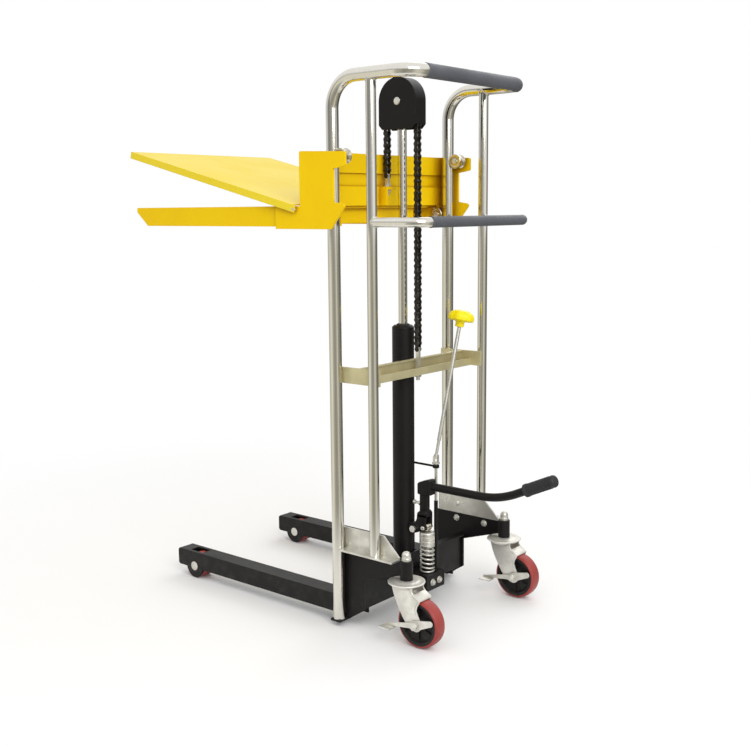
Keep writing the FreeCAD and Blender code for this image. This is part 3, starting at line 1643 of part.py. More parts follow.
def pump_spring():
    """Compression spring round the pump barrel, one unbroken wire."""
    wire_r = size("spring_wire").number / 2
    radius = size("spring_od").number / 2 - wire_r
    low = size("block_top_z").number + wire_r + size("slide_gap").number
    high = (size("cap_top_z") - size("cap_height")).number - wire_r - size("slide_gap").number
    turns = int(size("spring_turns").number)
    quarters = turns * 4
    rise = (high - low) / quarters
    centre_y = size("pump_y").number

    def place(turn):
        angle = 2 * math.pi * turn
        return FreeCAD.Vector(
            radius * math.cos(angle), centre_y + radius * math.sin(angle), low + rise * 4 * turn
        )

    edges = []
    for q in range(quarters):
        start = place(q / 4)
        middle = place((q + 0.5) / 4)
        end = place((q + 1) / 4)
        edges.append(Part.Arc(start, middle, end).toShape())
    spine = Part.Wire(edges)
    start = place(0)
    ahead = edges[0].tangentAt(edges[0].FirstParameter)
    outward = FreeCAD.Vector(1, 0, 0)
    upward = ahead.cross(outward).normalize()
    sides = int(size("spring_sides").number)
    corners = []
    for k in range(sides + 1):
        angle = 2 * math.pi * k / sides
        corners.append(start + (outward * math.cos(angle) + upward * math.sin(angle)) * wire_r)
    ring = Part.makePolygon(corners)
    shell = spine.makePipeShell([ring], True, False)
    feature = doc.addObject("Part::Feature", "pump_spring")
    feature.Shape = shell
    feature.Label = "pump_spring"
    feature.Placement = FreeCAD.Placement(
        FreeCAD.Vector(0, size("mast_setback").number, 0), FreeCAD.Rotation()
    )
    nodes["pump_spring"] = feature
    # Least gap between neighbouring coils, from points half a turn and more apart
    samples = [place(t / 48) for t in range(turns * 48 + 1)]
    least = min(
        (a - b).Length
        for i, a in enumerate(samples)
        for b in samples[i + 24:]
    )
    print("pump spring: least gap between coils %.2f mm" % (least - 2 * wire_r))
    ideal = sides / 2 * math.sin(2 * math.pi / sides) * wire_r ** 2 * spine.Length
    print("pump spring: volume %.1f of %.1f mm3" % (shell.Volume, ideal))


mast_tubes()
handles()
rear_tubes()
mid_brace()
castor_arms()
tube_brackets()
cross_wall()
legs()
cylinder()
piston_rod()
chain_sheave()
sheave_guard()
side_plates()
forks()
cross_beams()
guide_rollers()
load_platform()
foot_pump()
pedal()
release_control()
castor("left_castor", 1)
castor("right_castor", -1)
castor_stems()
frame_bolts()
chain_anchor("rear_chain_anchor", rear_run_y, rear_pin_z, brace_seat, size("brace_z"))
chain_anchor("front_chain_anchor", front_run_y, front_pin_z, lug_top, lug_top - size("lug_thick"))
lift_chain()
pump_spring()
doc.recompute()

# Nothing is written unless every object and every sub-part is sound
faults = [o.Name for o in doc.Objects if "Invalid" in o.State or "Error" in o.State]
for label, thing in nodes.items():
    if thing.Shape.isNull() or not thing.Shape.isValid() or not thing.Shape.Solids:
        faults.append(label)
if faults:
    raise RuntimeError("unsound: %s" % ", ".join(faults))
os.makedirs("parts", exist_ok=True)
for label, thing in nodes.items():
    thing.Shape.exportStep(os.path.join("parts", label + ".step"))
print("%d sub-parts written" % len(nodes))
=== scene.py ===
import logging
import math
from dataclasses import dataclass
from enum import Enum
from typing import Iterable, Sequence

import bmesh
import bpy
from mathutils import Euler, Matrix, Vector


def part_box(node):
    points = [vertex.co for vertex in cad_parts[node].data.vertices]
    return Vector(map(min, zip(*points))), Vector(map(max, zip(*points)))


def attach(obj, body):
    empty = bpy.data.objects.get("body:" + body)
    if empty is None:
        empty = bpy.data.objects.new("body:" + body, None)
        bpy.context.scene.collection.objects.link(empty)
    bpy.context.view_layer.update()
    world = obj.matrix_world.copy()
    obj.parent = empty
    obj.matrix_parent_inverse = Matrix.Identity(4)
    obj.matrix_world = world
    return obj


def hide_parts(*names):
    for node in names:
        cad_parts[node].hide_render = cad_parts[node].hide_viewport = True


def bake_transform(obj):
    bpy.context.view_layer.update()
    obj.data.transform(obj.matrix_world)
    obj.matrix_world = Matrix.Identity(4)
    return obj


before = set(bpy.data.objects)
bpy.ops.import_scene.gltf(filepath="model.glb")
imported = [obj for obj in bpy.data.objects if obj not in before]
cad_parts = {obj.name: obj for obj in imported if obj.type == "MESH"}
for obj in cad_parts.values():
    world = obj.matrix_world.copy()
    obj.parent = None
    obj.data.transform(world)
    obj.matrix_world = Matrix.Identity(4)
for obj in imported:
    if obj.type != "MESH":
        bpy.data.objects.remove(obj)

logging.basicConfig(level=logging.INFO, format="%(message)s")
log = logging.getLogger("stacker")

Colour = tuple[float, float, float]
Pair = tuple[float, float]
Triple = tuple[float, float, float]
Spot = tuple[Vector, Euler]
Socket = bpy.types.NodeSocket

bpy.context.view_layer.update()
FULL_TURN = 2 * math.pi
QUARTER = math.pi / 2
SMOOTH_ANGLE = math.radians(32)
MERGE_DISTANCE = 1e-6
ORIGIN = Matrix.Identity(4)
UNTURNED = Euler((0, 0, 0))
WHITE = (1.0, 1.0, 1.0, 1.0)
DUST_COLOUR: Colour = (0.42, 0.40, 0.36)


class Side(Enum):
    """The operator's two sides, with the sign of X on each."""

    LEFT = 1
    RIGHT = -1

    @property
    def word(self) -> str:
        """Name of the side as the CAD nodes spell it."""
        return self.name.lower()


class Link(Enum):
    """The links that alternate along a roller chain, and the inner link on an anchor."""

    INNER = 0
    OUTER = 1
    END = 2


class Effect(Enum):
    """Surface effects that several finishes share, each a shader node group."""

    DRIFT = "tone_drift"
    GRAIN = "fine_grain"
    STREAKS = "drawn_streaks"
    SCUFFS = "light_scuffs"
    RUB = "rubbed_edges"
    DUST = "floor_dust"
    EDGE = "soft_edges"
    # Painted shade in recesses, from ambient occlusion.
    CORNER = "corner_shade"


class NodeDesk:
    """Adds and links the nodes of one tree."""

    def __init__(self, tree: bpy.types.NodeTree) -> None:
        """Work on this tree."""
        self.tree = tree

    def add(self, kind: str, values: dict | None = None, **settings) -> bpy.types.Node:
        """Add a node.

        Args:
            kind: Blender's name of the node type.
            values: numbers, colours or sockets for its inputs, by socket name or index.
            settings: properties of the node itself.

        Returns:
            The new node.
        """
        node = self.tree.nodes.new(kind)
        for key, value in settings.items():
            setattr(node, key, value)
        for key, value in (values or {}).items():
            self.feed(node.inputs[key], value)
        return node

    def link(self, source: Socket, target: Socket) -> None:
        """Join an output to an input."""
        self.tree.links.new(source, target)

    def feed(self, target: Socket, value) -> None:
        """Give an input what it takes.

        Args:
            target: the input.
            value: a socket to link, or a plain value to set.
        """
        if isinstance(value, Socket):
            self.link(value, target)
        else:
            target.default_value = value

    def socket(self, name: str, kind: str, way: str = "INPUT", value: float | None = None) -> None:
        """Add a named socket to the group's interface.

        Args:
            name: of the socket.
            kind: its socket type.
            way: INPUT or OUTPUT.
            value: default of an input.
        """
        made = self.tree.interface.new_socket(name=name, in_out=way, socket_type=kind)
        if value is not None:
            made.default_value = value

    def math(self, operation: str, first, second, clamped: bool = True) -> Socket:
        """Add a Math node fed by sockets or numbers, and return its output."""
        values = {0: first, 1: second}
        return self.add("ShaderNodeMath", values, operation=operation, use_clamp=clamped).outputs[0]

    def mapped(self, source: Socket, levels: dict, smooth: bool = False) -> Socket:
        """Carry a value from one range over to another.

        Args:
            source: the value.
            levels: the ends of both ranges, by socket name.
            smooth: ease in and out.

        Returns:
            The new value.
        """
        kind = "SMOOTHSTEP" if smooth else "LINEAR"
        node = self.add("ShaderNodeMapRange", {"Value": source, **levels}, interpolation_type=kind)
        return node.outputs["Result"]

    def mixed(self, share: Socket, first, second) -> Socket:
        """Mix two colours by a share.

        Args:
            share: from 0, the first colour, to 1, the second.
            first: a colour or a socket.
            second: a colour or a socket.

        Returns:
            The mixed colour.
        """
        node = self.add("ShaderNodeMix", {"Factor": share}, data_type="RGBA")
        for target, value in zip((s for s in node.inputs if s.type == "RGBA"), (first, second)):
            self.feed(target, value)
        return next(s for s in node.outputs if s.type == "RGBA")

    def mixed_shader(self, share: Socket, first: Socket, second: Socket) -> Socket:
        """Mix two shaders by a share, and return the result."""
        return self.add("ShaderNodeMixShader", {0: share, 1: first, 2: second}).outputs[0]

    def split(self, vector: Socket) -> bpy.types.bpy_prop_collection:
        """Take a vector apart, and return its X, Y and Z outputs."""
        return self.add("ShaderNodeSeparateXYZ", {0: vector}).outputs


class SurfaceEffects:
    """Builds each shared effect once, as a shader node group."""

    def __init__(self) -> None:
        """Make every group."""
        self.groups = {
            Effect.DRIFT: self.drift(),
            Effect.GRAIN: self.grain(),
            Effect.STREAKS: self.streaks(),
            Effect.SCUFFS: self.scuffs(),
            Effect.RUB: self.rub(),
            Effect.DUST: self.dust(),
            Effect.EDGE: self.edge(),
            Effect.CORNER: self.corner(),
        }

    def start(
        self, effect: Effect, output: str, kind: str = "NodeSocketFloat", **inputs: float
    ) -> tuple[NodeDesk, bpy.types.bpy_prop_collection]:
        """Open a group with a Vector input, further number inputs and one output.

        Args:
            effect: which effect the group is.
            output: name of what the group puts out.
            kind: socket type of that output.
            inputs: default of each number input, by name.

        Returns:
            The desk of the new tree, and what the group is given.
        """
        desk = NodeDesk(bpy.data.node_groups.new(effect.value, "ShaderNodeTree"))
        desk.socket("Vector", "NodeSocketVector")
        for name, value in inputs.items():
            desk.socket(name, "NodeSocketFloat", value=value)
        desk.socket(output, kind, "OUTPUT")
        return desk, desk.add("NodeGroupInput").outputs

    def close(self, desk: NodeDesk, result: Socket) -> bpy.types.NodeTree:
        """Send the result to the group's output, and return the tree."""
        desk.add("NodeGroupOutput", {0: result})
        return desk.tree

    def spread(self, desk: NodeDesk, source: Socket, low: float, high: float) -> Socket:
        """Stretch a noise value between two levels into a mask from 0 to 1."""
        return desk.mapped(source, {"From Min": low, "From Max": high}, smooth=True)

    def noise(self, desk: NodeDesk, vector: Socket, scale, detail: float, rough: float = 0.55) -> Socket:
        """Add a noise texture whose scale is a socket or a number, and return its value."""
        values = {"Vector": vector, "Scale": scale, "Detail": detail, "Roughness": rough}
        return desk.add("ShaderNodeTexNoise", values).outputs["Fac"]

    def product(self, desk: NodeDesk, first: Socket, second: Socket, amount: Socket) -> Socket:
        """Multiply two masks and the amount."""
        return desk.math("MULTIPLY", desk.math("MULTIPLY", first, second), amount)

    def drift(self) -> bpy.types.NodeTree:
        """Broad, soft change of tone over a surface.

        Returns:
            The node group.
        """
        desk, given = self.start(Effect.DRIFT, "Mask", Scale=6.0)
        value = self.noise(desk, given["Vector"], given["Scale"], detail=4.0)
        return self.close(desk, self.spread(desk, value, 0.34, 0.68))

    def grain(self) -> bpy.types.NodeTree:
        """Fine texture of a coating or moulding, as a height."""
        desk, given = self.start(Effect.GRAIN, "Height", Scale=700.0)
        return self.close(desk, self.noise(desk, given["Vector"], given["Scale"], detail=2.0, rough=0.4))

    def streaks(self) -> bpy.types.NodeTree:
        """Long faint lines along the height, as drawing and plating leave them.

        Returns:
            The node group.
        """
        desk, given = self.start(Effect.STREAKS, "Mask", Scale=260.0, Length=0.04)
        parts = desk.split(given["Vector"])
        along = desk.math("MULTIPLY", parts["Z"], given["Length"], clamped=False)
        drawn = desk.add("ShaderNodeCombineXYZ", {"X": parts["X"], "Y": parts["Y"], "Z": along})
        value = self.noise(desk, drawn.outputs[0], given["Scale"], detail=3.0)
        return self.close(desk, self.spread(desk, value, 0.3, 0.72))

    def scuffs(self) -> bpy.types.NodeTree:
        """Sparse small marks, gathered in patches.

        Returns:
            The node group.
        """
        desk, given = self.start(Effect.SCUFFS, "Mask", Scale=90.0, Amount=0.3)
        marks = self.noise(desk, given["Vector"], given["Scale"], detail=6.0, rough=0.7)
        patches = self.noise(desk, given["Vector"], scale=9.0, detail=2.0)
        marks = self.spread(desk, marks, 0.62, 0.72)
        patches = self.spread(desk, patches, 0.5, 0.66)
        return self.close(desk, self.product(desk, marks, patches, given["Amount"]))

    def rub(self) -> bpy.types.NodeTree:
        """Corners where the coating is rubbed thin.

        Returns:
            The node group.
        """
        desk, given = self.start(Effect.RUB, "Mask", Radius=0.0015, Amount=0.5)
        bevel = desk.add("ShaderNodeBevel", {"Radius": given["Radius"]}, samples=4).outputs[0]
        flat = desk.add("ShaderNodeNewGeometry").outputs["Normal"]
        dot = desk.add("ShaderNodeVectorMath", {0: bevel, 1: flat}, operation="DOT_PRODUCT")
        corners = desk.mapped(dot.outputs["Value"], {"From Min": 0.995, "From Max": 0.9})
        broken = self.noise(desk, given["Vector"], scale=130.0, detail=5.0, rough=0.65)
        broken = self.spread(desk, broken, 0.45, 0.6)
        return self.close(desk, self.product(desk, corners, broken, given["Amount"]))

    def dust(self) -> bpy.types.NodeTree:
        """Thin dust that gathers towards the floor.

        Returns:
            The node group.
        """
        desk, given = self.start(Effect.DUST, "Mask", Top=0.12, Amount=0.3)
        levels = {"From Min": 0.0, "From Max": given["Top"], "To Min": 1.0, "To Max": 0.0}
        fall = desk.mapped(desk.split(given["Vector"])["Z"], levels)
        cloud = self.noise(desk, given["Vector"], scale=40.0, detail=5.0, rough=0.6)
        cloud = self.spread(desk, cloud, 0.4, 0.75)
        return self.close(desk, self.product(desk, fall, cloud, given["Amount"]))

    def corner(self) -> bpy.types.NodeTree:
        """Painted shade: colour darkened by ambient occlusion where faces stand close together.

        Returns:
            The node group.
        """
        desk, given = self.start(Effect.CORNER, "Mask", Reach=0.05, Amount=0.5)
        near = desk.add("ShaderNodeAmbientOcclusion", {"Distance": given["Reach"]}, samples=8)
        levels = {"From Min": 0.35, "From Max": 0.95, "To Min": 1.0, "To Max": 0.0}
        shade_level = desk.mapped(near.outputs["AO"], levels, smooth=True)
        return self.close(desk, desk.math("MULTIPLY", shade_level, given["Amount"]))

    def edge(self) -> bpy.types.NodeTree:
        """Normal that rounds off the folded and cut edges of sheet and plate.

        Returns:
            The node group.
        """
        desk, given = self.start(Effect.EDGE, "Normal", "NodeSocketVector", Radius=0.002)
        return self.close(
            desk, desk.add("ShaderNodeBevel", {"Radius": given["Radius"]}, samples=6).outputs[0],
        )


@dataclass(frozen=True)
class Finish:
    """One procedural finish of the machine, colours in linear light."""

    name: str
    slot: str
    colour: Colour
    second: Colour
    rough: float
    rough_spread: float
    metal: float = 0.0
    specular: float = 0.5
    drift_scale: float = 5.0
    streaked: bool = False
    grain_scale: float = 700.0
    grain_depth: float = 0.00006
    rub_colour: Colour = (0.4, 0.4, 0.38)
    rub: float = 0.0
    scuff_colour: Colour = (0.3, 0.3, 0.3)
    scuff: float = 0.0
    dust: float = 0.0
    # Painted shade: colour and share of the darkening where faces stand close together.
    corner_colour: Colour = (0.2, 0.2, 0.2)
    corner: float = 0.0
    edge: float = 0.0

    def build(self, effects: SurfaceEffects) -> bpy.types.Material:
        """Make the material.

        Args:
            effects: the shared groups.

        Returns:
            A node material with colour, roughness and relief that vary over the surface.
        """
        material = bpy.data.materials.new(self.name)
        material.use_nodes = True
        material.diffuse_color = (*self.colour, 1.0)
        material.node_tree.nodes.clear()
        desk = NodeDesk(material.node_tree)
        tone = self.effect(desk, effects, Effect.DRIFT, Scale=self.drift_scale)
        if self.streaked:
            tone = self.average(desk, tone, self.effect(desk, effects, Effect.STREAKS))
        colour = desk.mixed(tone, (*self.second, 1.0), (*self.colour, 1.0))
        # Scuffs, rubbed edges and dust are wear; the corner layer is painted shade, darker where faces stand
        # close together.
        for which, amount, layer in (
            (Effect.SCUFFS, self.scuff, self.scuff_colour),
            (Effect.RUB, self.rub, self.rub_colour),
            (Effect.CORNER, self.corner, self.corner_colour),
            (Effect.DUST, self.dust, DUST_COLOUR),
        ):
            if amount:
                colour = desk.mixed(self.effect(desk, effects, which, Amount=amount), colour, (*layer, 1.0))
        levels = {"To Min": self.rough + self.rough_spread, "To Max": self.rough - self.rough_spread}
        values = {
            "Base Color": colour,
            "Roughness": desk.mapped(tone, levels),
            "Metallic": self.metal,
            "Specular IOR Level": self.specular,
        }
        values |= self.relief(desk, effects)
        shader = desk.add("ShaderNodeBsdfPrincipled", values)
        desk.add("ShaderNodeOutputMaterial", {"Surface": shader.outputs["BSDF"]})
        return material

    def relief(self, desk: NodeDesk, effects: SurfaceEffects) -> dict:
        """Make the rounded edges and the grain.

        Args:
            desk: of the material.
            effects: the shared groups.

        Returns:
            The normal under its input's name, or nothing for a smooth finish.
        """
        normal = {}
        if self.edge:
            normal = {"Normal": self.effect(desk, effects, Effect.EDGE, Radius=self.edge)}
        if self.grain_depth:
            height = self.effect(desk, effects, Effect.GRAIN, Scale=self.grain_scale)
            values = {"Height": height, "Strength": 1.0, "Distance": self.grain_depth, **normal}
            normal = {"Normal": desk.add("ShaderNodeBump", values).outputs["Normal"]}
        return normal

    def effect(self, desk: NodeDesk, effects: SurfaceEffects, which: Effect, **values: float) -> Socket:
        """Place a shared group on Object coordinates.

        Args:
            desk: of the material.
            effects: the shared groups.
            which: the effect.
            values: the finish's own values of the group's inputs.

        Returns:
            What the group puts out.
        """
        inputs = {"Vector": desk.add("ShaderNodeTexCoord").outputs["Object"], **values}
        return desk.add("ShaderNodeGroup", inputs, node_tree=effects.groups[which]).outputs[0]

    def average(self, desk: NodeDesk, first: Socket, second: Socket) -> Socket:
        """Average two masks."""
        return desk.math("ADD", *(desk.math("MULTIPLY", mask, 0.5) for mask in (first, second)))


CHROME = Finish(
    "polished_chrome", "chrome", (0.80, 0.785, 0.735), (0.70, 0.68, 0.61), 0.10, 0.04, metal=1.0,
    streaked=True, drift_scale=3.0, grain_depth=0.0,
)
ZINC = Finish(
    "bright_zinc", "zinc", (0.77, 0.755, 0.70), (0.60, 0.585, 0.53), 0.32, 0.05, metal=0.8,
    drift_scale=24.0, edge=0.001, grain_depth=0.0, rub_colour=(0.86, 0.85, 0.81), rub=0.4,
)
# The dark grey corner layer of this finish is painted shade in the recesses of the yokes and levers.
PRESSING = Finish(
    "dull_zinc_pressing", "zinc", (0.88, 0.86, 0.80), (0.72, 0.70, 0.64), 0.36, 0.08, metal=0.55,
    drift_scale=26.0, edge=0.0012, grain_scale=420.0, grain_depth=0.00003,
    rub_colour=(0.92, 0.91, 0.88), rub=0.4, scuff_colour=(0.52, 0.51, 0.46), scuff=0.3,
    corner_colour=(0.30, 0.28, 0.22), corner=0.6,
)
PASSIVATED = Finish(
    "straw_passivated_zinc", "zinc", (0.68, 0.615, 0.37), (0.53, 0.475, 0.275), 0.38, 0.06, metal=0.45,
    drift_scale=9.0, edge=0.0012, grain_depth=0.0, rub_colour=(0.74, 0.70, 0.56), rub=0.4,
    scuff_colour=(0.32, 0.28, 0.16), scuff=0.35,
)
BLACK = Finish(
    "satin_black_coat", "black_paint", (0.0062, 0.0054, 0.0054), (0.0078, 0.0069, 0.0068), 0.42, 0.05,
    specular=0.22, edge=0.003, grain_scale=520.0, grain_depth=0.00006, rub_colour=(0.07, 0.067, 0.065),
    rub=0.35, scuff_colour=(0.06, 0.058, 0.056), scuff=0.16, dust=0.06,
)
# The brown-orange corner layer of this coat is painted shade in the carriage's recesses.
YELLOW = Finish(
    "gloss_yellow_coat", "yellow_paint", (0.94, 0.625, 0.002), (0.91, 0.585, 0.002), 0.36, 0.04,
    specular=0.1, edge=0.0015, grain_scale=300.0, grain_depth=0.000008, rub_colour=(0.95, 0.70, 0.04),
    rub=0.3, scuff_colour=(0.82, 0.50, 0.008), scuff=0.12, corner_colour=(0.40, 0.165, 0.004),
    corner=0.8,
)
DECK = Finish(
    "lemon_deck_coat", "yellow_paint", (0.90, 0.70, 0.03), (0.87, 0.665, 0.025), 0.34, 0.04,
    specular=0.2, edge=0.0015, grain_scale=300.0, grain_depth=0.000008, rub_colour=(0.94, 0.76, 0.06),
    rub=0.3, scuff_colour=(0.84, 0.60, 0.02), scuff=0.12,
)
CHAIN = Finish(
    "oiled_chain_steel", "oiled_chain", (0.060, 0.057, 0.052), (0.022, 0.020, 0.018), 0.38, 0.12,
    metal=0.85, drift_scale=70.0, grain_scale=900.0, grain_depth=0.00002, rub_colour=(0.22, 0.21, 0.19),
    rub=0.5,
)
TREAD = Finish(
    "red_cast_tread", "red_tread", (0.37, 0.046, 0.038), (0.29, 0.034, 0.028), 0.48, 0.08,
    drift_scale=12.0, grain_scale=300.0, grain_depth=0.00008, scuff_colour=(0.24, 0.04, 0.035),
    scuff=0.35, dust=0.08,
)
HUB = Finish(
    "dark_moulded_hub", "dark_hub", (0.0085, 0.0076, 0.0072), (0.0135, 0.0120, 0.0112), 0.48, 0.08,
    specular=0.3, grain_scale=800.0, grain_depth=0.00008, scuff_colour=(0.04, 0.037, 0.034), scuff=0.2,
    dust=0.05,
)
SLEEVE = Finish(
    "slate_grip_sleeve", "grip_rubber", (0.105, 0.112, 0.128), (0.085, 0.090, 0.103), 0.52, 0.07,
    specular=0.4, grain_scale=1500.0, grain_depth=0.00012, scuff_colour=(0.17, 0.175, 0.185),
    scuff=0.25,
)
PEDAL_RUBBER = Finish(
    "black_pedal_rubber", "grip_rubber", (0.017, 0.017, 0.018), (0.026, 0.026, 0.027), 0.58, 0.07,
    specular=0.4, grain_scale=1200.0, grain_depth=0.00015, scuff_colour=(0.07, 0.07, 0.07), scuff=0.3,
)
BEARING = Finish(
    "turned_roller_steel", "zinc", (0.70, 0.655, 0.545), (0.50, 0.46, 0.36), 0.24, 0.07, metal=1.0,
    drift_scale=40.0, grain_scale=900.0, grain_depth=0.00001, rub_colour=(0.86, 0.84, 0.78), rub=0.4,
)
KNOB = Finish(
    "moulded_yellow_knob", "yellow_knob", (0.96, 0.80, 0.006), (0.93, 0.73, 0.005), 0.38, 0.05,
    specular=0.3, grain_scale=900.0, grain_depth=0.00002, scuff_colour=(0.85, 0.62, 0.02), scuff=0.15,
)
FINISHES = (
    CHROME, ZINC, PRESSING, PASSIVATED, BLACK, YELLOW, DECK, CHAIN, TREAD, HUB, SLEEVE, PEDAL_RUBBER,
    BEARING, KNOB,
)


class Paintshop:
    """Holds the built materials and puts them on pieces."""

    def __init__(self) -> None:
        """Build every finish once."""
        effects = SurfaceEffects()
        self.materials = {finish.name: finish.build(effects) for finish in FINISHES}

    def coat(self, piece: bpy.types.Object, finish: Finish) -> None:
        """Give a piece or a CAD node its finish.

        Args:
            piece: object to dress.
            finish: that it gets.
        """
        if not piece.material_slots:
            piece.data.materials.append(self.materials[finish.name])
        for slot in piece.material_slots:
            slot.material = self.materials[finish.name]


class Shape:
    """A mesh being made, in metres, in the machine's own frame."""

    def __init__(self) -> None:
        """Start empty."""
        self.bm = bmesh.new()

    def ring(self, points: Iterable[Vector]) -> list[bmesh.types.BMVert]:
        """Add corners that follow each other, and return them."""
        return [self.bm.verts.new(point) for point in points]

    def skin(self, rings: Sequence[list[bmesh.types.BMVert]], capped: bool) -> None:
        """Lay faces between rings that follow each other.

        Args:
            rings: corners of each ring, a single one where the skin closes in a point.
            capped: close the first and the last ring with a face.
        """
        count = max(len(ring) for ring in rings)
        for low, high in zip(rings, rings[1:]):
            for k in range(count):
                j = (k + 1) % count
                corners = (low[k % len(low)], low[j % len(low)], high[j % len(high)], high[k % len(high)])
                kept = list(dict.fromkeys(corners))
                if len(kept) > 2:
                    self.bm.faces.new(kept)
        if capped:
            self.bm.faces.new(list(reversed(rings[0])))
            self.bm.faces.new(rings[-1])

    def lathe(self, profile: Sequence[Pair], place: Matrix, steps: int = 48) -> None:
        """Turn a profile about the local Z axis.

        Args:
            profile: (radius, height) points from one end to the other; radius 0 closes an end.
            place: where the turned piece goes.
            steps: corners round the turn.
        """
        rings = []
        for radius, height in profile:
            angles = [FULL_TURN * k / steps for k in range(steps)] if radius > 0 else [0.0]
            points = [(radius * math.cos(angle), radius * math.sin(angle), height) for angle in angles]
            rings.append(self.ring(place @ Vector(point) for point in points))
        self.skin(rings, capped=False)

    def slab(self, outline: Sequence[Pair], thick: float, place: Matrix, edge: float, steps: int) -> None:
        """Make a flat plate from an outline in the local XY plane.

        Args:
            outline: corners in order.
            thick: thickness along local Z.
            place: where the plate goes.
            edge: radius of the rounded edge.
            steps: faces across the rounding.
        """
        turns = [QUARTER * k / steps for k in range(steps + 1)]
        layers = [(edge * (1 - math.cos(a)), edge * (math.sin(a) - 1)) for a in turns]
        layers += [(thick - height, grow) for height, grow in reversed(layers)]
        rings = []
        for height, grow in layers:
            rings.append(self.ring(place @ Vector((x, y, height)) for x, y in self.grown(outline, grow)))
        self.skin(rings, capped=True)

    def grown(self, outline: Sequence[Pair], grow: float) -> list[Pair]:
        """Move an outline's sides.

        Args:
            outline: corners in order.
            grow: way outwards, or inwards where it is negative.

        Returns:
            The moved corners.
        """
        if not grow:
            return list(outline)
        area = sum(a[0] * b[1] - b[0] * a[1] for a, b in zip(outline, [*outline[1:], outline[0]]))
        turn = 1 if area > 0 else -1
        moved = []
        count = len(outline)
        for k in range(count):
            here = Vector(outline[k])
            before = (here - Vector(outline[k - 1])).normalized()
            after = (Vector(outline[(k + 1) % count]) - here).normalized()
            out = Vector((before.y + after.y, -before.x - after.x)) * turn
            reach = max(0.3, (1 + before.dot(after)) / 2)
            step = out.normalized() * grow / math.sqrt(reach)
            moved.append((here.x + step.x, here.y + step.y))
        return moved

    def sweep(self, path: Sequence[Vector], radii: Sequence[float], sides: int = 24) -> None:
        """Run a round section along a path, closed at both ends.

        Args:
            path: points of the middle line.
            radii: the section's radius at each point.
            sides: corners round the section.
        """
        rings = []
        side = None
        for k, (point, size) in enumerate(zip(path, radii)):
            ahead = (path[min(k + 1, len(path) - 1)] - path[max(k - 1, 0)]).normalized()
            if side is None:
                side = ahead.orthogonal().normalized()
            side = (side - ahead * side.dot(ahead)).normalized()
            up = ahead.cross(side)
            angles = [FULL_TURN * n / sides for n in range(sides)]
            rings.append(self.ring([point + (side * math.cos(a) + up * math.sin(a)) * size for a in angles]))
        self.skin(rings, capped=True)

    def add_mesh(self, mesh: bpy.types.Mesh) -> None:
        """Add a finished mesh to this one."""
        self.bm.from_mesh(mesh)

    def made(self, name: str) -> bpy.types.Object:
        """Close the work into an object at the origin.

        Args:
            name: of the piece.

        Returns:
            The object, linked to the scene, smooth except at its sharp edges.
        """
        bmesh.ops.remove_doubles(self.bm, verts=self.bm.verts, dist=MERGE_DISTANCE)
        bmesh.ops.recalc_face_normals(self.bm, faces=self.bm.faces)
        mesh = bpy.data.meshes.new(name)
        self.bm.to_mesh(mesh)
        self.bm.free()
        mesh.shade_smooth()
        mesh.set_sharp_from_angle(angle=SMOOTH_ANGLE)
        piece = bpy.data.objects.new(name, mesh)
        bpy.context.scene.collection.objects.link(piece)
        return piece


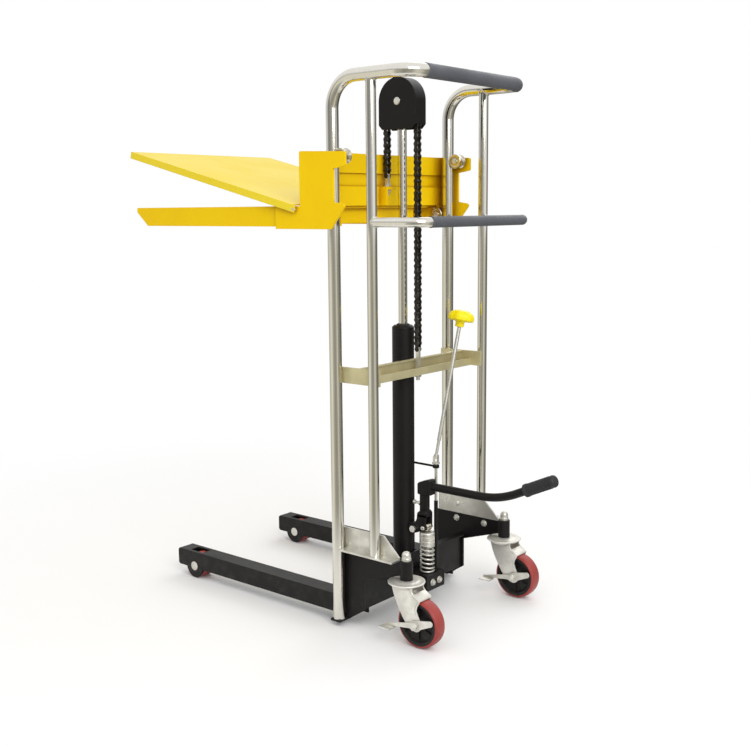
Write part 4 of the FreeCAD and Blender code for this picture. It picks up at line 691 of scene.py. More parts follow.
class Repeater:
    """Geometry Nodes for what repeats: a pattern set on points, and a wound wire."""

    TURN = "turn"

    def __init__(self) -> None:
        """Build both trees."""
        self.pattern_tree = self.build_pattern_tree()
        self.wire_tree = self.build_wire_tree()

    def build_pattern_tree(self) -> bpy.types.NodeTree:
        """Tree that sets one pattern on every point, turned by the point's own angles.

        Returns:
            The tree.
        """
        desk = NodeDesk(bpy.data.node_groups.new("pattern_on_points", "GeometryNodeTree"))
        desk.socket("Points", "NodeSocketGeometry")
        desk.socket("Pattern", "NodeSocketObject")
        desk.socket("Finish", "NodeSocketMaterial")
        desk.socket("Geometry", "NodeSocketGeometry", "OUTPUT")
        given = desk.add("NodeGroupInput").outputs
        info = desk.add("GeometryNodeObjectInfo", {"Object": given["Pattern"]}, transform_space="ORIGINAL")
        turn = desk.add("GeometryNodeInputNamedAttribute", {"Name": self.TURN}, data_type="FLOAT_VECTOR")
        angles = desk.add("FunctionNodeEulerToRotation", {0: turn.outputs["Attribute"]})
        values = {
            "Points": given["Points"],
            "Instance": info.outputs["Geometry"],
            "Rotation": angles.outputs[0],
        }
        placed = desk.add("GeometryNodeInstanceOnPoints", values)
        return self.close(desk, given["Finish"], placed.outputs["Instances"])

    def build_wire_tree(self) -> bpy.types.NodeTree:
        """Tree that winds a round wire into a coil about Z.

        Returns:
            The tree.
        """
        desk = NodeDesk(bpy.data.node_groups.new("wound_wire", "GeometryNodeTree"))
        desk.socket("Points", "NodeSocketGeometry")
        desk.socket("Finish", "NodeSocketMaterial")
        for name, value in (("Turns", 6.0), ("Radius", 0.018), ("Height", 0.08), ("Wire", 0.0028)):
            desk.socket(name, "NodeSocketFloat", value=value)
        desk.socket("Geometry", "NodeSocketGeometry", "OUTPUT")
        given = desk.add("NodeGroupInput").outputs
        values = {
            "Resolution": 40,
            "Rotations": given["Turns"],
            "Start Radius": given["Radius"],
            "End Radius": given["Radius"],
            "Height": given["Height"],
        }
        coil = desk.add("GeometryNodeCurveSpiral", values).outputs["Curve"]
        values = {"Resolution": 16, "Radius": given["Wire"]}
        section = desk.add("GeometryNodeCurvePrimitiveCircle", values).outputs["Curve"]
        values = {"Curve": coil, "Profile Curve": section, "Fill Caps": True}
        swept = desk.add("GeometryNodeCurveToMesh", values)
        return self.close(desk, given["Finish"], swept.outputs["Mesh"])

    def close(self, desk: NodeDesk, finish: Socket, shape: Socket) -> bpy.types.NodeTree:
        """End a tree in Realize Instances and Set Material.

        Args:
            desk: of the tree.
            finish: the material that the tree is given.
            shape: what the tree has made.

        Returns:
            The tree.
        """
        real = desk.add("GeometryNodeRealizeInstances", {0: shape}).outputs[0]
        dressed = desk.add("GeometryNodeSetMaterial", {"Geometry": real, "Material": finish})
        desk.add("NodeGroupOutput", {"Geometry": dressed.outputs[0]})
        return desk.tree

    def run(self, holder: bpy.types.Object, tree: bpy.types.NodeTree, values: dict) -> bpy.types.Mesh:
        """Run a tree on an object and return the plain mesh; the object is removed.

        Args:
            holder: carries the points.
            tree: to run.
            values: inputs by name.

        Returns:
            The evaluated mesh.
        """
        modifier = holder.modifiers.new("repeat", "NODES")
        modifier.node_group = tree
        for item in tree.interface.items_tree:
            if item.item_type == "SOCKET" and item.in_out == "INPUT" and item.name in values:
                modifier[item.identifier] = values[item.name]
        bpy.context.view_layer.update()
        graph = bpy.context.evaluated_depsgraph_get()
        mesh = bpy.data.meshes.new_from_object(holder.evaluated_get(graph))
        bpy.data.objects.remove(holder)
        return mesh

    def pattern(
        self, pattern: bpy.types.Object, spots: Iterable[Spot], material: bpy.types.Material,
    ) -> bpy.types.Mesh:
        """Set a pattern on spots and return the joined mesh.

        Args:
            pattern: object that is repeated.
            spots: place and turn of each repeat.
            material: finish of the mesh.

        Returns:
            The mesh.
        """
        spots = list(spots)
        points = bpy.data.meshes.new("points")
        points.from_pydata([tuple(where) for where, _ in spots], [], [])
        turns = points.attributes.new(self.TURN, "FLOAT_VECTOR", "POINT")
        for k, (_, euler) in enumerate(spots):
            turns.data[k].vector = tuple(euler)
        holder = bpy.data.objects.new("points", points)
        bpy.context.scene.collection.objects.link(holder)
        return self.run(holder, self.pattern_tree, {"Pattern": pattern, "Finish": material})

    def wire(
        self, turns: float, radius: float, height: float, wire: float, material: bpy.types.Material,
    ) -> bpy.types.Mesh:
        """Wind a coil that stands on the origin.

        Args:
            turns: number of turns.
            radius: of the coil.
            height: of the coil.
            wire: radius of the wire.
            material: finish of the mesh.

        Returns:
            The mesh.
        """
        holder = bpy.data.objects.new("wire", bpy.data.meshes.new("wire"))
        bpy.context.scene.collection.objects.link(holder)
        values = {"Turns": turns, "Radius": radius, "Height": height, "Wire": wire, "Finish": material}
        return self.run(holder, self.wire_tree, values)


def facing_x(x: float, y: float, z: float, sign: int = 1) -> Matrix:
    """Place whose local Z looks along +X or -X."""
    return Matrix.Translation((x, y, z)) @ Matrix.Rotation(sign * QUARTER, 4, "Y")


def upright(x: float, y: float, z: float) -> Matrix:
    """Place whose local Z looks up."""
    return Matrix.Translation((x, y, z))


def across(x: float) -> Matrix:
    """Place whose local X and Y run along the machine's Y and Z, at that X."""
    return Matrix(((0, 0, 1, x), (1, 0, 0, 0), (0, 1, 0, 0), (0, 0, 0, 1)))


def arc(centre: Pair, radius: float, start: float, end: float, count: int) -> list[Pair]:
    """Points along an arc, angles in degrees, both ends included.

    Args:
        centre: of the arc.
        radius: of the arc.
        start: first angle.
        end: last angle.
        count: number of points.

    Returns:
        The points.
    """
    points = []
    for k in range(count):
        angle = math.radians(start + (end - start) * k / (count - 1))
        points.append((centre[0] + radius * math.cos(angle), centre[1] + radius * math.sin(angle)))
    return points


def both_ways(half: Sequence[Pair]) -> list[Pair]:
    """Close a turned profile, given from its bore outwards on one side, with its mirror image."""
    whole = list(half) + [(r, -z) for r, z in reversed(half)]
    return whole + [whole[0]]


def rounded_box(half_x: float, half_y: float, radius: float) -> list[Pair]:
    """Rectangle about the origin with round corners.

    Args:
        half_x: half its width.
        half_y: half its depth.
        radius: of the corners.

    Returns:
        The outline.
    """
    points = []
    for sx, sy, start in ((1, 1, 0), (-1, 1, 90), (-1, -1, 180), (1, -1, 270)):
        points += arc((sx * (half_x - radius), sy * (half_y - radius)), radius, start, start + 90, 5)
    return points


def middle(node: str) -> Vector:
    """Middle of a CAD node's box."""
    low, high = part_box(node)
    return (low + high) / 2


@dataclass
class Assembly:
    """Common to all sub-assemblies: the paint, the repeater and how pieces are filed."""

    shop: Paintshop
    repeater: Repeater

    def file(
        self, piece: bpy.types.Object, finish: Finish, body: str | None, *nodes: str,
    ) -> bpy.types.Object:
        """Dress a piece, set it on its body and say which nodes it stands for.

        Args:
            piece: finished mesh object.
            finish: its finish.
            body: CAD body that it rides on, or None to leave it on no body.
            nodes: CAD nodes that it replaces.

        Returns:
            The piece.
        """
        self.shop.coat(piece, finish)
        if body:
            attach(piece, body)
        if nodes:
            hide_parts(*nodes)
        log.info("%s: %d faces", piece.name, len(piece.data.polygons))
        return piece

    def repeated(
        self, name: str, pattern: bpy.types.Object, spots: Iterable[Spot], finish: Finish,
    ) -> bpy.types.Object:
        """Set a pattern on spots as one piece, and drop the pattern.

        Args:
            name: of the piece.
            pattern: object that is repeated.
            spots: place and turn of each repeat.
            finish: of the piece.

        Returns:
            The piece.
        """
        shape = Shape()
        self.patterned(shape, pattern, spots, finish)
        return shape.made(name)

    def patterned(
        self, shape: Shape, pattern: bpy.types.Object, spots: Iterable[Spot], finish: Finish,
    ) -> None:
        """Set a pattern on spots within a shape, and drop the pattern."""
        shape.add_mesh(self.repeater.pattern(pattern, spots, self.shop.materials[finish.name]))
        bpy.data.objects.remove(pattern)

    def turned(self, name: str, profile: Sequence[Pair], place: Matrix, steps: int) -> bpy.types.Object:
        """Turn a profile into a piece.

        Args:
            name: of the piece.
            profile: (radius, height) points.
            place: where the piece goes.
            steps: corners round the turn.

        Returns:
            The piece, not filed yet.
        """
        shape = Shape()
        shape.lathe(profile, place, steps)
        return shape.made(name)


class CadCoats(Assembly):
    """Finishes of the CAD nodes that stay as they are."""

    COATS = (
        (CHROME, ("top_handle_bow", "lower_handle_bow", "rear_tubes", "piston_rod")),
        (ZINC, ("rear_chain_anchor", "front_chain_anchor", "tube_brackets", "frame_bolts", "leg_axles")),
        (ZINC, ("castor_stems", "carriage_pins", "pump_plunger", "release_rod", "valve_spindle")),
        (ZINC, ("pump_spring",)),
        (PRESSING, ("sheave_pin",)),
        (PASSIVATED, ("mid_brace",)),
        (BLACK, ("base_cross_wall", "cylinder_barrel", "cylinder_gland", "pump_block", "pedal_lever")),
        (BLACK, ("sheave_guard", "chain_sheave")),
        (YELLOW, ("upper_cross_beam", "lower_cross_beam", "heel_plate")),
        (DECK, ("load_platform",)),
        (CHAIN, ("chain_rear_run", "chain_front_run", "chain_over_sheave")),
        (SLEEVE, ("top_grip", "lower_grip")),
        (PEDAL_RUBBER, ("pedal_grip",)),
        (KNOB, ("release_knob",)),
    )
    SIDED = (
        (CHROME, ("mast_tube",)),
        (ZINC, ("upper_guide_roller", "lower_guide_roller")),
        (PRESSING, ("castor_yoke", "castor_brake_lever")),
        (BLACK, ("castor_arm", "leg")),
        (YELLOW, ("side_plate", "fork")),
        (TREAD, ("castor_tread", "front_roller")),
        (HUB, ("castor_hub",)),
    )

    def build(self) -> None:
        """Coat every node, and stop if one was forgotten."""
        rows = list(self.COATS)
        for side in Side:
            rows += [(finish, [f"{side.word}_{name}" for name in names]) for finish, names in self.SIDED]
        coated = set()
        for finish, names in rows:
            for name in names:
                self.shop.coat(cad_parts[name], finish)
                coated.add(name)
        bare = sorted(set(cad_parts) - coated)
        if bare:
            raise ValueError(f"nodes without a finish: {bare}")
        log.info("%d CAD nodes coated", len(coated))


@dataclass
class LiftChain(Assembly):
    """Roller chain over the sheave, with link pairs as separate pieces on no body."""

    pitch: float = 0.015875
    sheave_y: float = 0.1495
    sheave_z: float = 1.369
    wrap_links: int = 10
    front_links: int = 12
    rear_links: int = 41
    inner_half: float = 0.0048
    plate: float = 0.0019
    lobe: float = 0.0072
    waist: float = 0.0053
    plate_edge: float = 0.0004
    plate_gap: float = 0.00015
    play: float = 0.0001
    roller: float = 0.0051
    roller_end: float = 0.0046
    roller_bevel: float = 0.0004
    pin: float = 0.0026
    pin_end: float = 0.0018
    pin_bevel: float = 0.0005
    pin_proud: float = 0.0012
    travel: float = 0.485
    front_fixed: int = 5
    front_spare: int = 15
    rear_fixed: int = 4
    rear_spare: int = 15
    far: float = 200.0

    def build(self) -> None:
        """Make the three fixed stretches and the pairs, which are filed on no body."""
        radius = self.pitch / (2 * math.sin(math.pi / (2 * self.wrap_links)))
        self.front_y = self.sheave_y - radius
        self.rear_y = self.sheave_y + radius
        self.pair = 2 * self.pitch
        self.patterns = {kind: self.link(kind) for kind in Link}
        front_low = self.sheave_z - self.front_links * self.pitch
        rear_low = self.sheave_z - self.rear_links * self.pitch
        self.stretch(
            "chain_front_stretch", self.run(self.front_y, front_low, 0, self.front_fixed), "carriage",
            "chain_front_run",
        )
        self.stretch(
            "chain_rear_stretch", self.run(self.rear_y, rear_low, 0, self.rear_fixed), "mast_frame",
            "chain_rear_run",
        )
        self.stretch(
            "chain_top_stretch", self.over_sheave(radius, front_low, rear_low), "lift_rod",
            "chain_over_sheave",
        )
        for m in range(self.front_fixed, self.front_fixed + self.front_spare):
            share = 1 - (m - self.front_fixed + 1) * self.pair / self.travel
            links = self.run(self.front_y, front_low, self.front_fixed - 1, self.front_fixed)
            self.paid_out(f"chain_front_pair_{m:02d}", links, "lift_rod", "carriage", share)
        for m in range(self.rear_fixed, self.rear_fixed + self.rear_spare):
            share = (m - self.rear_fixed + 1) * self.pair / self.travel
            links = self.run(self.rear_y, rear_low, m, m + 1)
            self.paid_out(f"chain_rear_pair_{m:02d}", links, "mast_frame", "lift_rod", share)
        for pattern in self.patterns.values():
            bpy.data.objects.remove(pattern)

    def outline(self) -> list[Pair]:
        """Waisted outline of one plate, from its lower pin to its upper one.

        Returns:
            The outline.
        """
        angles = (-90, -57, -25, 8, 40)
        right = [
            (self.lobe * math.cos(math.radians(a)), self.lobe * math.sin(math.radians(a))) for a in angles
        ]
        right.append((self.waist, self.pitch / 2))
        right += [(y, self.pitch - z) for y, z in reversed(right[:len(angles)])]
        return right + [(-y, z) for y, z in reversed(right[1:-1])]

    def round_bar(self, radius: float, end: float, bevel: float, half: float) -> list[Pair]:
        """Profile of a round bar with bevelled ends, about its middle."""
        low = [(0, -half), (end, -half), (radius, bevel - half)]
        return low + [(r, -z) for r, z in reversed(low)]

    def link(self, kind: Link) -> bpy.types.Object:
        """Make the pattern of one link, standing on its lower pin.

        Args:
            kind: which of the links.

        Returns:
            The pattern.
        """
        shape = Shape()
        near = self.inner_half + (self.plate + self.plate_gap if kind is Link.OUTER else 0.0)
        for start in (near, -near - self.plate):
            shape.slab(self.outline(), self.plate, across(start), self.plate_edge, steps=1)
        spool = self.round_bar(self.roller, self.roller_end, self.roller_bevel, self.inner_half - self.play)
        rivet = self.round_bar(self.pin, self.pin_end, self.pin_bevel, near + self.plate + self.pin_proud)
        if kind is not Link.OUTER:
            shape.lathe(spool, facing_x(0, 0, self.pitch), steps=14)
        if kind is Link.INNER:
            shape.lathe(spool, facing_x(0, 0, 0), steps=14)
        if kind is Link.OUTER:
            shape.lathe(rivet, facing_x(0, 0, self.pitch), steps=10)
        if kind is not Link.INNER:
            shape.lathe(rivet, facing_x(0, 0, 0), steps=10)
        return shape.made(f"chain_link_{kind.name.lower()}")

    def run(self, y: float, low: float, first: int, last: int) -> list[tuple[Link, Spot]]:
        """List the links of the pairs from first up to last, counted from the anchor.

        Args:
            y: place of the run.
            low: height of its lowest pin.
            first: first pair.
            last: pair to stop before.

        Returns:
            Kind and spot of each link.
        """
        links = []
        for m in range(first, last):
            kind = Link.END if m == 0 else Link.INNER
            links.append((kind, (Vector((0, y, low + m * self.pair)), UNTURNED)))
            links.append((Link.OUTER, (Vector((0, y, low + m * self.pair + self.pitch)), UNTURNED)))
        return links

    def over_sheave(self, radius: float, front_low: float, rear_low: float) -> list[tuple[Link, Spot]]:
        """List the links that stay with the sheave: the wrap and the straight ends inside the guard.

        Args:
            radius: from the sheave's middle to the pins.
            front_low: lowest pin of the front run.
            rear_low: lowest pin of the rear run.

        Returns:
            Kind and spot of each link.
        """
        links = self.run(self.front_y, front_low, self.front_fixed, self.front_fixed + 1)
        top_pair = self.rear_fixed + self.rear_spare
        links += self.run(self.rear_y, rear_low, top_pair, top_pair + 1)
        last = Vector((0, self.rear_y, rear_low + (top_pair + 1) * self.pair))
        links.append((Link.INNER, (last, UNTURNED)))
        pins = []
        for k in range(self.wrap_links + 1):
            angle = math.pi * (1 - k / self.wrap_links)
            y, z = self.sheave_y + radius * math.cos(angle), self.sheave_z + radius * math.sin(angle)
            pins.append(Vector((0, y, z)))
        for k, (a, b) in enumerate(zip(pins, pins[1:])):
            turn = math.atan2(a.y - b.y, b.z - a.z)
            links.append((Link.OUTER if k % 2 else Link.INNER, (a, Euler((turn, 0, 0)))))
        return links

    def joined(self, name: str, links: Sequence[tuple[Link, Spot]]) -> bpy.types.Object:
        """Set the link patterns on their spots as one piece.

        Args:
            name: of the piece.
            links: kind and spot of each link.

        Returns:
            The piece.
        """
        shape = Shape()
        material = self.shop.materials[CHAIN.name]
        for kind in Link:
            spots = [spot for which, spot in links if which is kind]
            if spots:
                shape.add_mesh(self.repeater.pattern(self.patterns[kind], spots, material))
        return shape.made(name)

    def stretch(self, name: str, links: Sequence[tuple[Link, Spot]], body: str, node: str) -> None:
        """File links that stay with one body."""
        self.file(self.joined(name, links), CHAIN, body, node)

    def paid_out(
        self, name: str, links: Sequence[tuple[Link, Spot]], first: str, second: str, share: float,
    ) -> None:
        """File a pair on no body, with its placement baked into the mesh.

        Args:
            name: of the piece.
            links: of the pair.
            first: a body; not used.
            second: a body; not used.
            share: from 0 to 1; not used.
        """
        piece = self.file(self.joined(name, links), CHAIN, None)
        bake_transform(piece)


@dataclass
class FootPump(Assembly):
    """Return spring, ringed plunger cap and the dark tube round the valve spindle."""

    y: float = 0.230
    coil_low: float = 0.1061
    coil_high: float = 0.1799
    coil_radius: float = 0.0182
    wire: float = 0.0028
    turns: float = 6.0
    stem_low: float = 0.1189
    stem: float = 0.009
    cap: float = 0.021
    cap_low: float = 0.183
    cap_high: float = 0.216
    chamfer: float = 0.001
    cap_round: float = 0.005
    groove_levels: Pair = (0.0075, 0.0205)
    groove_steps: tuple[float, ...] = (0.0, 0.0008, 0.0022, 0.003)
    groove_depth: float = 0.0012
    recess: float = 0.0008
    recess_rim: float = 0.008
    recess_floor: float = 0.0072
    tube_low: float = 0.1036
    tube_high: float = 0.300
    tube_bore: float = 0.00405

    def build(self) -> None:
        """Make the spring between block and cap, the plunger and the spindle's tube."""
        height = self.coil_high - self.coil_low
        material = self.shop.materials[ZINC.name]
        mesh = self.repeater.wire(self.turns, self.coil_radius, height, self.wire, material)
        mesh.transform(Matrix.Translation((0, self.y, self.coil_low)))
        coil = Shape()
        coil.add_mesh(mesh)
        for level in (self.coil_low, self.coil_high):
            ring = [(self.coil_radius + r, z) for r, z in arc((0, level), self.wire, 0, 360, 14)]
            coil.lathe(ring, upright(0, self.y, 0), steps=56)
        spring = self.file(coil.made("return_spring"), ZINC, None, "pump_spring")
        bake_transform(spring)
        stem, foot, cap, brim, chamfer = self.stem, self.stem_low, self.cap, self.cap_low, self.chamfer
        profile = [
            (0, foot), (stem - chamfer, foot), (stem, foot + chamfer), (stem, brim),
            (cap - chamfer, brim), (cap, brim + chamfer),
        ]
        floor = cap - self.groove_depth
        for level in self.groove_levels:
            low, dip, rise, high = (brim + level + step for step in self.groove_steps)
            profile += [(cap, low), (floor, dip), (floor, rise), (cap, high)]
        profile += arc((cap - self.cap_round, self.cap_high - self.cap_round), self.cap_round, 0, 90, 6)
        recess = self.cap_high - self.recess
        profile += [(self.recess_rim, self.cap_high), (self.recess_floor, recess), (0, recess)]
        plunger = self.turned("plunger_cap", profile, upright(0, self.y, 0), steps=64)
        self.file(plunger, ZINC, "plunger", "pump_plunger")
        centre = middle("valve_spindle")
        low, high, bore = self.tube_low, self.tube_high, self.tube_bore
        wall = [
            (bore, low), (0.0051, low), (0.0055, low + 0.0005), (0.0055, high - 0.0010), (0.0048, high),
            (bore, high), (bore, low),
        ]
        tube = self.turned("spindle_tube", wall, upright(centre.x, centre.y, 0), steps=28)
        self.file(tube, BLACK, "spindle")


@dataclass
class Castors(Assembly):
    """Two braked swivel castors: pressed yokes, cast treads, ribbed hubs and domed stem nuts."""

    x: float = 0.226
    swivel_y: float = 0.334
    axle_y: float = 0.381
    axle_z: float = 0.0625
    gap_half: float = 0.022
    cheek: float = 0.0035
    lobe: float = 0.017
    flange: float = 0.048
    flange_low: float = 0.1587
    crown_low: float = 0.1467
    lever_out: float = 0.0288
    nut: float = 0.0112
    nut_edge: float = 0.0009
    plain_nut: float = 0.0055
    lever_nut: float = 0.0065
    washer: float = 0.0014
    crown_half: float = 0.031
    crown_corner: float = 0.008
    stem_bore: float = 0.0081
    axle: float = 0.006
    axle_end: float = 0.0048
    rib_count: int = 6
    rib: float = 0.003
    swage: float = 0.0022

    def build(self) -> None:
        """Make both castors and the stems that carry them."""
        for side in Side:
            self.tread(side)
            self.hub(side)
            self.yoke(side)
        self.stems()

    def tread(self, side: Side) -> None:
        """Cast tyre with rounded shoulders.

        Args:
            side: of the machine.
        """
        half = [
            (0.0556, 0.0190), (0.0574, 0.0189), (0.0590, 0.0182), (0.0603, 0.0168), (0.0613, 0.0145),
            (0.0620, 0.0108), (0.0624, 0.0062), (0.0625, 0.0020),
        ]
        place = facing_x(side.value * self.x, self.axle_y, self.axle_z)
        piece = self.turned(f"{side.word}_cast_tread", both_ways(half), place, steps=96)
        self.file(piece, TREAD, f"{side.word}_wheel", f"{side.word}_castor_tread")

    def hub(self, side: Side) -> None:
        """Dished hub with ribs between boss and rim.

        Args:
            side: of the machine.
        """
        half = [
            (0.0061, 0.0217), (0.0160, 0.0217), (0.0168, 0.0209), (0.0176, 0.0150), (0.0200, 0.0098),
            (0.0235, 0.0080), (0.0420, 0.0080), (0.0444, 0.0098), (0.0464, 0.0166), (0.0478, 0.0183),
            (0.0555, 0.0187),
        ]
        shape = Shape()
        shape.lathe(both_ways(half), facing_x(side.value * self.x, self.axle_y, self.axle_z), steps=72)
        rib = Shape()
        web = [(0.0168, 0.007), (0.0464, 0.007), (0.0452, 0.0118), (0.0180, 0.0150)]
        rib.slab(
            web, self.rib, Matrix(((0, 1, 0, 0), (0, 0, 1, -self.rib / 2), (1, 0, 0, 0), (0, 0, 0, 1))),
            edge=0.0006, steps=1,
        )
        centre = Vector((side.value * self.x, self.axle_y, self.axle_z))
        angles = [FULL_TURN * k / self.rib_count for k in range(self.rib_count)]
        spots = [(centre, Euler((angle, 0, flip))) for angle in angles for flip in (0, math.pi)]
        self.patterned(shape, rib.made("hub_rib"), spots, HUB)
        self.file(shape.made(f"{side.word}_ribbed_hub"), HUB, f"{side.word}_wheel", f"{side.word}_castor_hub")

    def from_swivel(self, points: Iterable[Pair]) -> list[Pair]:
        """Set points, in millimetres behind the swivel and above the floor, in Y and Z."""
        return [(self.swivel_y + y / 1000, z / 1000) for y, z in points]

    def cheek_outline(self) -> list[Pair]:
        """Outline of a yoke cheek in Y and Z: broad under the flange, swept back to the axle.

        Returns:
            The outline.
        """
        front = [(-31, 158.7), (-27, 146), (-22, 130), (-14.5, 112), (-4, 92), (9, 71), (22, 54)]
        rear = [
            (62, 76), (54, 90), (50, 102), (52, 111), (56.5, 118), (60, 124.5), (59.5, 128.5),
            (55, 132.5), (47, 137), (40, 141.5), (36, 147), (35.5, 152.5), (37, 158.7),
        ]
        lobe = arc((self.axle_y, self.axle_z), self.lobe, 225, 395, 12)
        return self.from_swivel(front) + lobe + self.from_swivel(rear)

    def swage_outline(self) -> list[Pair]:
        """Outline of the panel that is pressed out of each cheek, above the brake lever.

        Returns:
            The outline.
        """
        front = [(-10, 152), (-6.5, 136), (-1, 120), (7, 105), (18, 90.5)]
        rear = [
            (49, 91), (45.5, 102), (47, 111.5), (51.5, 118.5), (54, 124), (50, 128.5), (43, 132.5),
            (35.5, 137.5), (31, 144), (30.5, 152),
        ]
        return self.from_swivel(front + rear)

    def web_outline(self) -> list[Pair]:
        """Section of the pressed web that joins the cheeks behind, from the tread's top up to the slot.

        Returns:
            The outline.
        """
        outer = [(60.5, 125.6), (60.0, 128.8), (55.5, 132.8), (47.5, 137.3), (40.5, 141.8)]
        inner = [(38.8, 139.4), (45.8, 134.9), (52.5, 130.9), (56.2, 127.4), (57.4, 126.8)]
        return self.from_swivel(outer + inner)

    def yoke(self, side: Side) -> None:
        """Pressed yoke with its swivel dish, rear web, axle and nuts.

        Args:
            side: of the machine.
        """
        x = side.value * self.x
        shape = Shape()
        for start in (self.gap_half, -self.gap_half - self.cheek):
            shape.slab(self.cheek_outline(), self.cheek, across(x + start), edge=0.0011, steps=3)
        half = self.gap_half + self.cheek
        crown = rounded_box(half, self.crown_half, self.crown_corner)
        shape.slab(
            crown, self.flange_low - self.crown_low, upright(x, self.swivel_y, self.crown_low),
            edge=0.0025, steps=3,
        )
        bowl = [
            (0, 0.1475), (0.026, 0.1475), (0.0325, 0.1495), (0.0375, 0.1530), (0.0400, 0.1572),
            (0.0400, self.flange_low),
        ]
        shape.lathe(bowl, upright(x, self.swivel_y, 0), steps=64)
        low = self.flange_low
        bore = self.stem_bore
        dish = [
            (bore, low), (self.flange - 0.0012, low), (self.flange, low + 0.001),
            (self.flange, low + 0.0028), (0.0468, low + 0.0041), (0.0440, low + 0.0044),
            (0.0395, low + 0.0041), (0.0350, low + 0.0046), (0.0305, low + 0.0062),
            (0.0270, low + 0.0069), (bore, low + 0.0069), (bore, low),
        ]
        shape.lathe(dish, upright(x, self.swivel_y, 0), steps=72)
        shape.slab(self.web_outline(), 2 * self.gap_half, across(x - self.gap_half), edge=0.001, steps=2)
        nut_low = self.lever_out + self.washer
        axle = [
            (0, -half - 0.007), (self.axle_end, -half - 0.007), (self.axle, -half - 0.006),
            (self.axle, nut_low + 0.0075), (self.axle_end, nut_low + 0.0085), (0, nut_low + 0.0085),
        ]
        shape.lathe(axle, facing_x(x, self.axle_y, self.axle_z), steps=24)
        hexagon = [(self.axle_y + y, self.axle_z + z) for y, z in arc((0, 0), self.nut, 15, 315, 6)]
        shape.slab(hexagon, self.plain_nut, across(x - half - 0.0056), self.nut_edge, steps=2)
        shape.slab(hexagon, self.lever_nut, across(x + nut_low), self.nut_edge, steps=2)
        washer = [
            (0.0061, self.lever_out + 0.0002), (0.0128, self.lever_out + 0.0002),
            (0.0134, self.lever_out + 0.0006), (0.0134, nut_low - 0.0003), (0.0128, nut_low),
            (0.0061, nut_low),
        ]
        shape.lathe(washer, facing_x(x, self.axle_y, self.axle_z), steps=40)
        for start in (half - 0.0006, -half - self.swage + 0.0006):
            shape.slab(self.swage_outline(), self.swage, across(x + start), edge=0.0013, steps=3)
        self.file(
            shape.made(f"{side.word}_pressed_yoke"), PRESSING, f"{side.word}_castor",
            f"{side.word}_castor_yoke",
        )

    def stems(self) -> None:
        """Stems through the arm sleeves, each with a domed nut above and a flat head below."""
        pattern = Shape()
        head = arc((0, 0), 0.0125, 0, 300, 6)
        pattern.slab(head, 0.005, upright(0, 0, 0.1414), edge=0.0008, steps=2)
        profile = [
            (0, 0.1464), (0.0079, 0.1464), (0.0079, 0.2140), (0.0122, 0.2140), (0.0125, 0.2145),
            (0.0125, 0.2215), (0.0120, 0.2225), (0.0110, 0.2232), (0.0110, 0.2260),
        ]
        profile += arc((0, 0.2285), 0.0114, 0, 90, 10)
        pattern.lathe(profile, ORIGIN, steps=48)
        spots = [(Vector((side.value * self.x, self.swivel_y, 0)), UNTURNED) for side in Side]
        piece = self.repeated("domed_castor_stems", pattern.made("castor_stem"), spots, ZINC)
        self.file(piece, ZINC, "mast_frame", "castor_stems")


@dataclass
class Rollers(Assembly):
    """Grooved guide rollers of the carriage and the tyred rollers in the legs."""

    guide_inner: float = 0.231
    leg_bore: float = 0.0081

    def build(self) -> None:
        """Make the four guide rollers with their bolts, and the two leg rollers."""
        spots = []
        for side in Side:
            for level in ("upper", "lower"):
                node = f"{side.word}_{level}_guide_roller"
                centre = middle(node)
                self.guide(node, f"{side.word}_{level}_roller", centre)
                place = Vector((side.value * self.guide_inner, centre.y, centre.z))
                spots.append((place, Euler((0, -side.value * QUARTER, 0))))
            self.leg_roller(side)
        head = [
            (0, 0), (0.0076, 0), (0.0076, 0.0006), (0.0068, 0.0011), (0.0050, 0.0014), (0.0034, 0.0015),
            (0.0032, 0.0004), (0, 0.0004),
        ]
        button = self.turned("button_head", head, ORIGIN, steps=32)
        piece = self.repeated("guide_bolt_heads", button, spots, ZINC)
        self.file(piece, ZINC, "carriage")

    def guide(self, node: str, body: str, centre: Vector) -> None:
        """Turned roller whose groove fits round the mast tube.

        Args:
            node: CAD node that it replaces.
            body: that it rides on.
            centre: of the roller.
        """
        half = [
            (0.0051, 0.0134), (0.0082, 0.0134), (0.0084, 0.0124), (0.0130, 0.0124), (0.0134, 0.0138),
            (0.0139, 0.0140), (0.0185, 0.0140), (0.0195, 0.0130), (0.0195, 0.0106), (0.0189, 0.0094),
            (0.0179, 0.0079), (0.0169, 0.0059), (0.0164, 0.0039), (0.0161, 0.0019), (0.0160, 0.0),
        ]
        name = node.replace("guide_roller", "grooved_roller")
        self.file(self.turned(name, both_ways(half), facing_x(*centre), steps=64), BEARING, body, node)

    def leg_roller(self, side: Side) -> None:
        """Tyre and cored hub of one leg roller.

        Args:
            side: of the machine.
        """
        node = f"{side.word}_front_roller"
        place = facing_x(*middle(node))
        half = [(0.024, 0.0182), (0.0338, 0.0190), (0.0353, 0.0185), (0.0362, 0.0172), (0.0365, 0.0150)]
        tyre = self.turned(f"{side.word}_leg_tyre", both_ways(half), place, steps=72)
        self.file(tyre, TREAD, f"{side.word}_leg_roller", node)
        half = [
            (self.leg_bore, 0.0188), (0.0125, 0.0188), (0.0130, 0.0172), (0.0205, 0.0172),
            (0.0214, 0.0184), (0.0239, 0.0184),
        ]
        core = self.turned(f"{side.word}_leg_core", both_ways(half), place, steps=56)
        self.file(core, HUB, f"{side.word}_leg_roller")


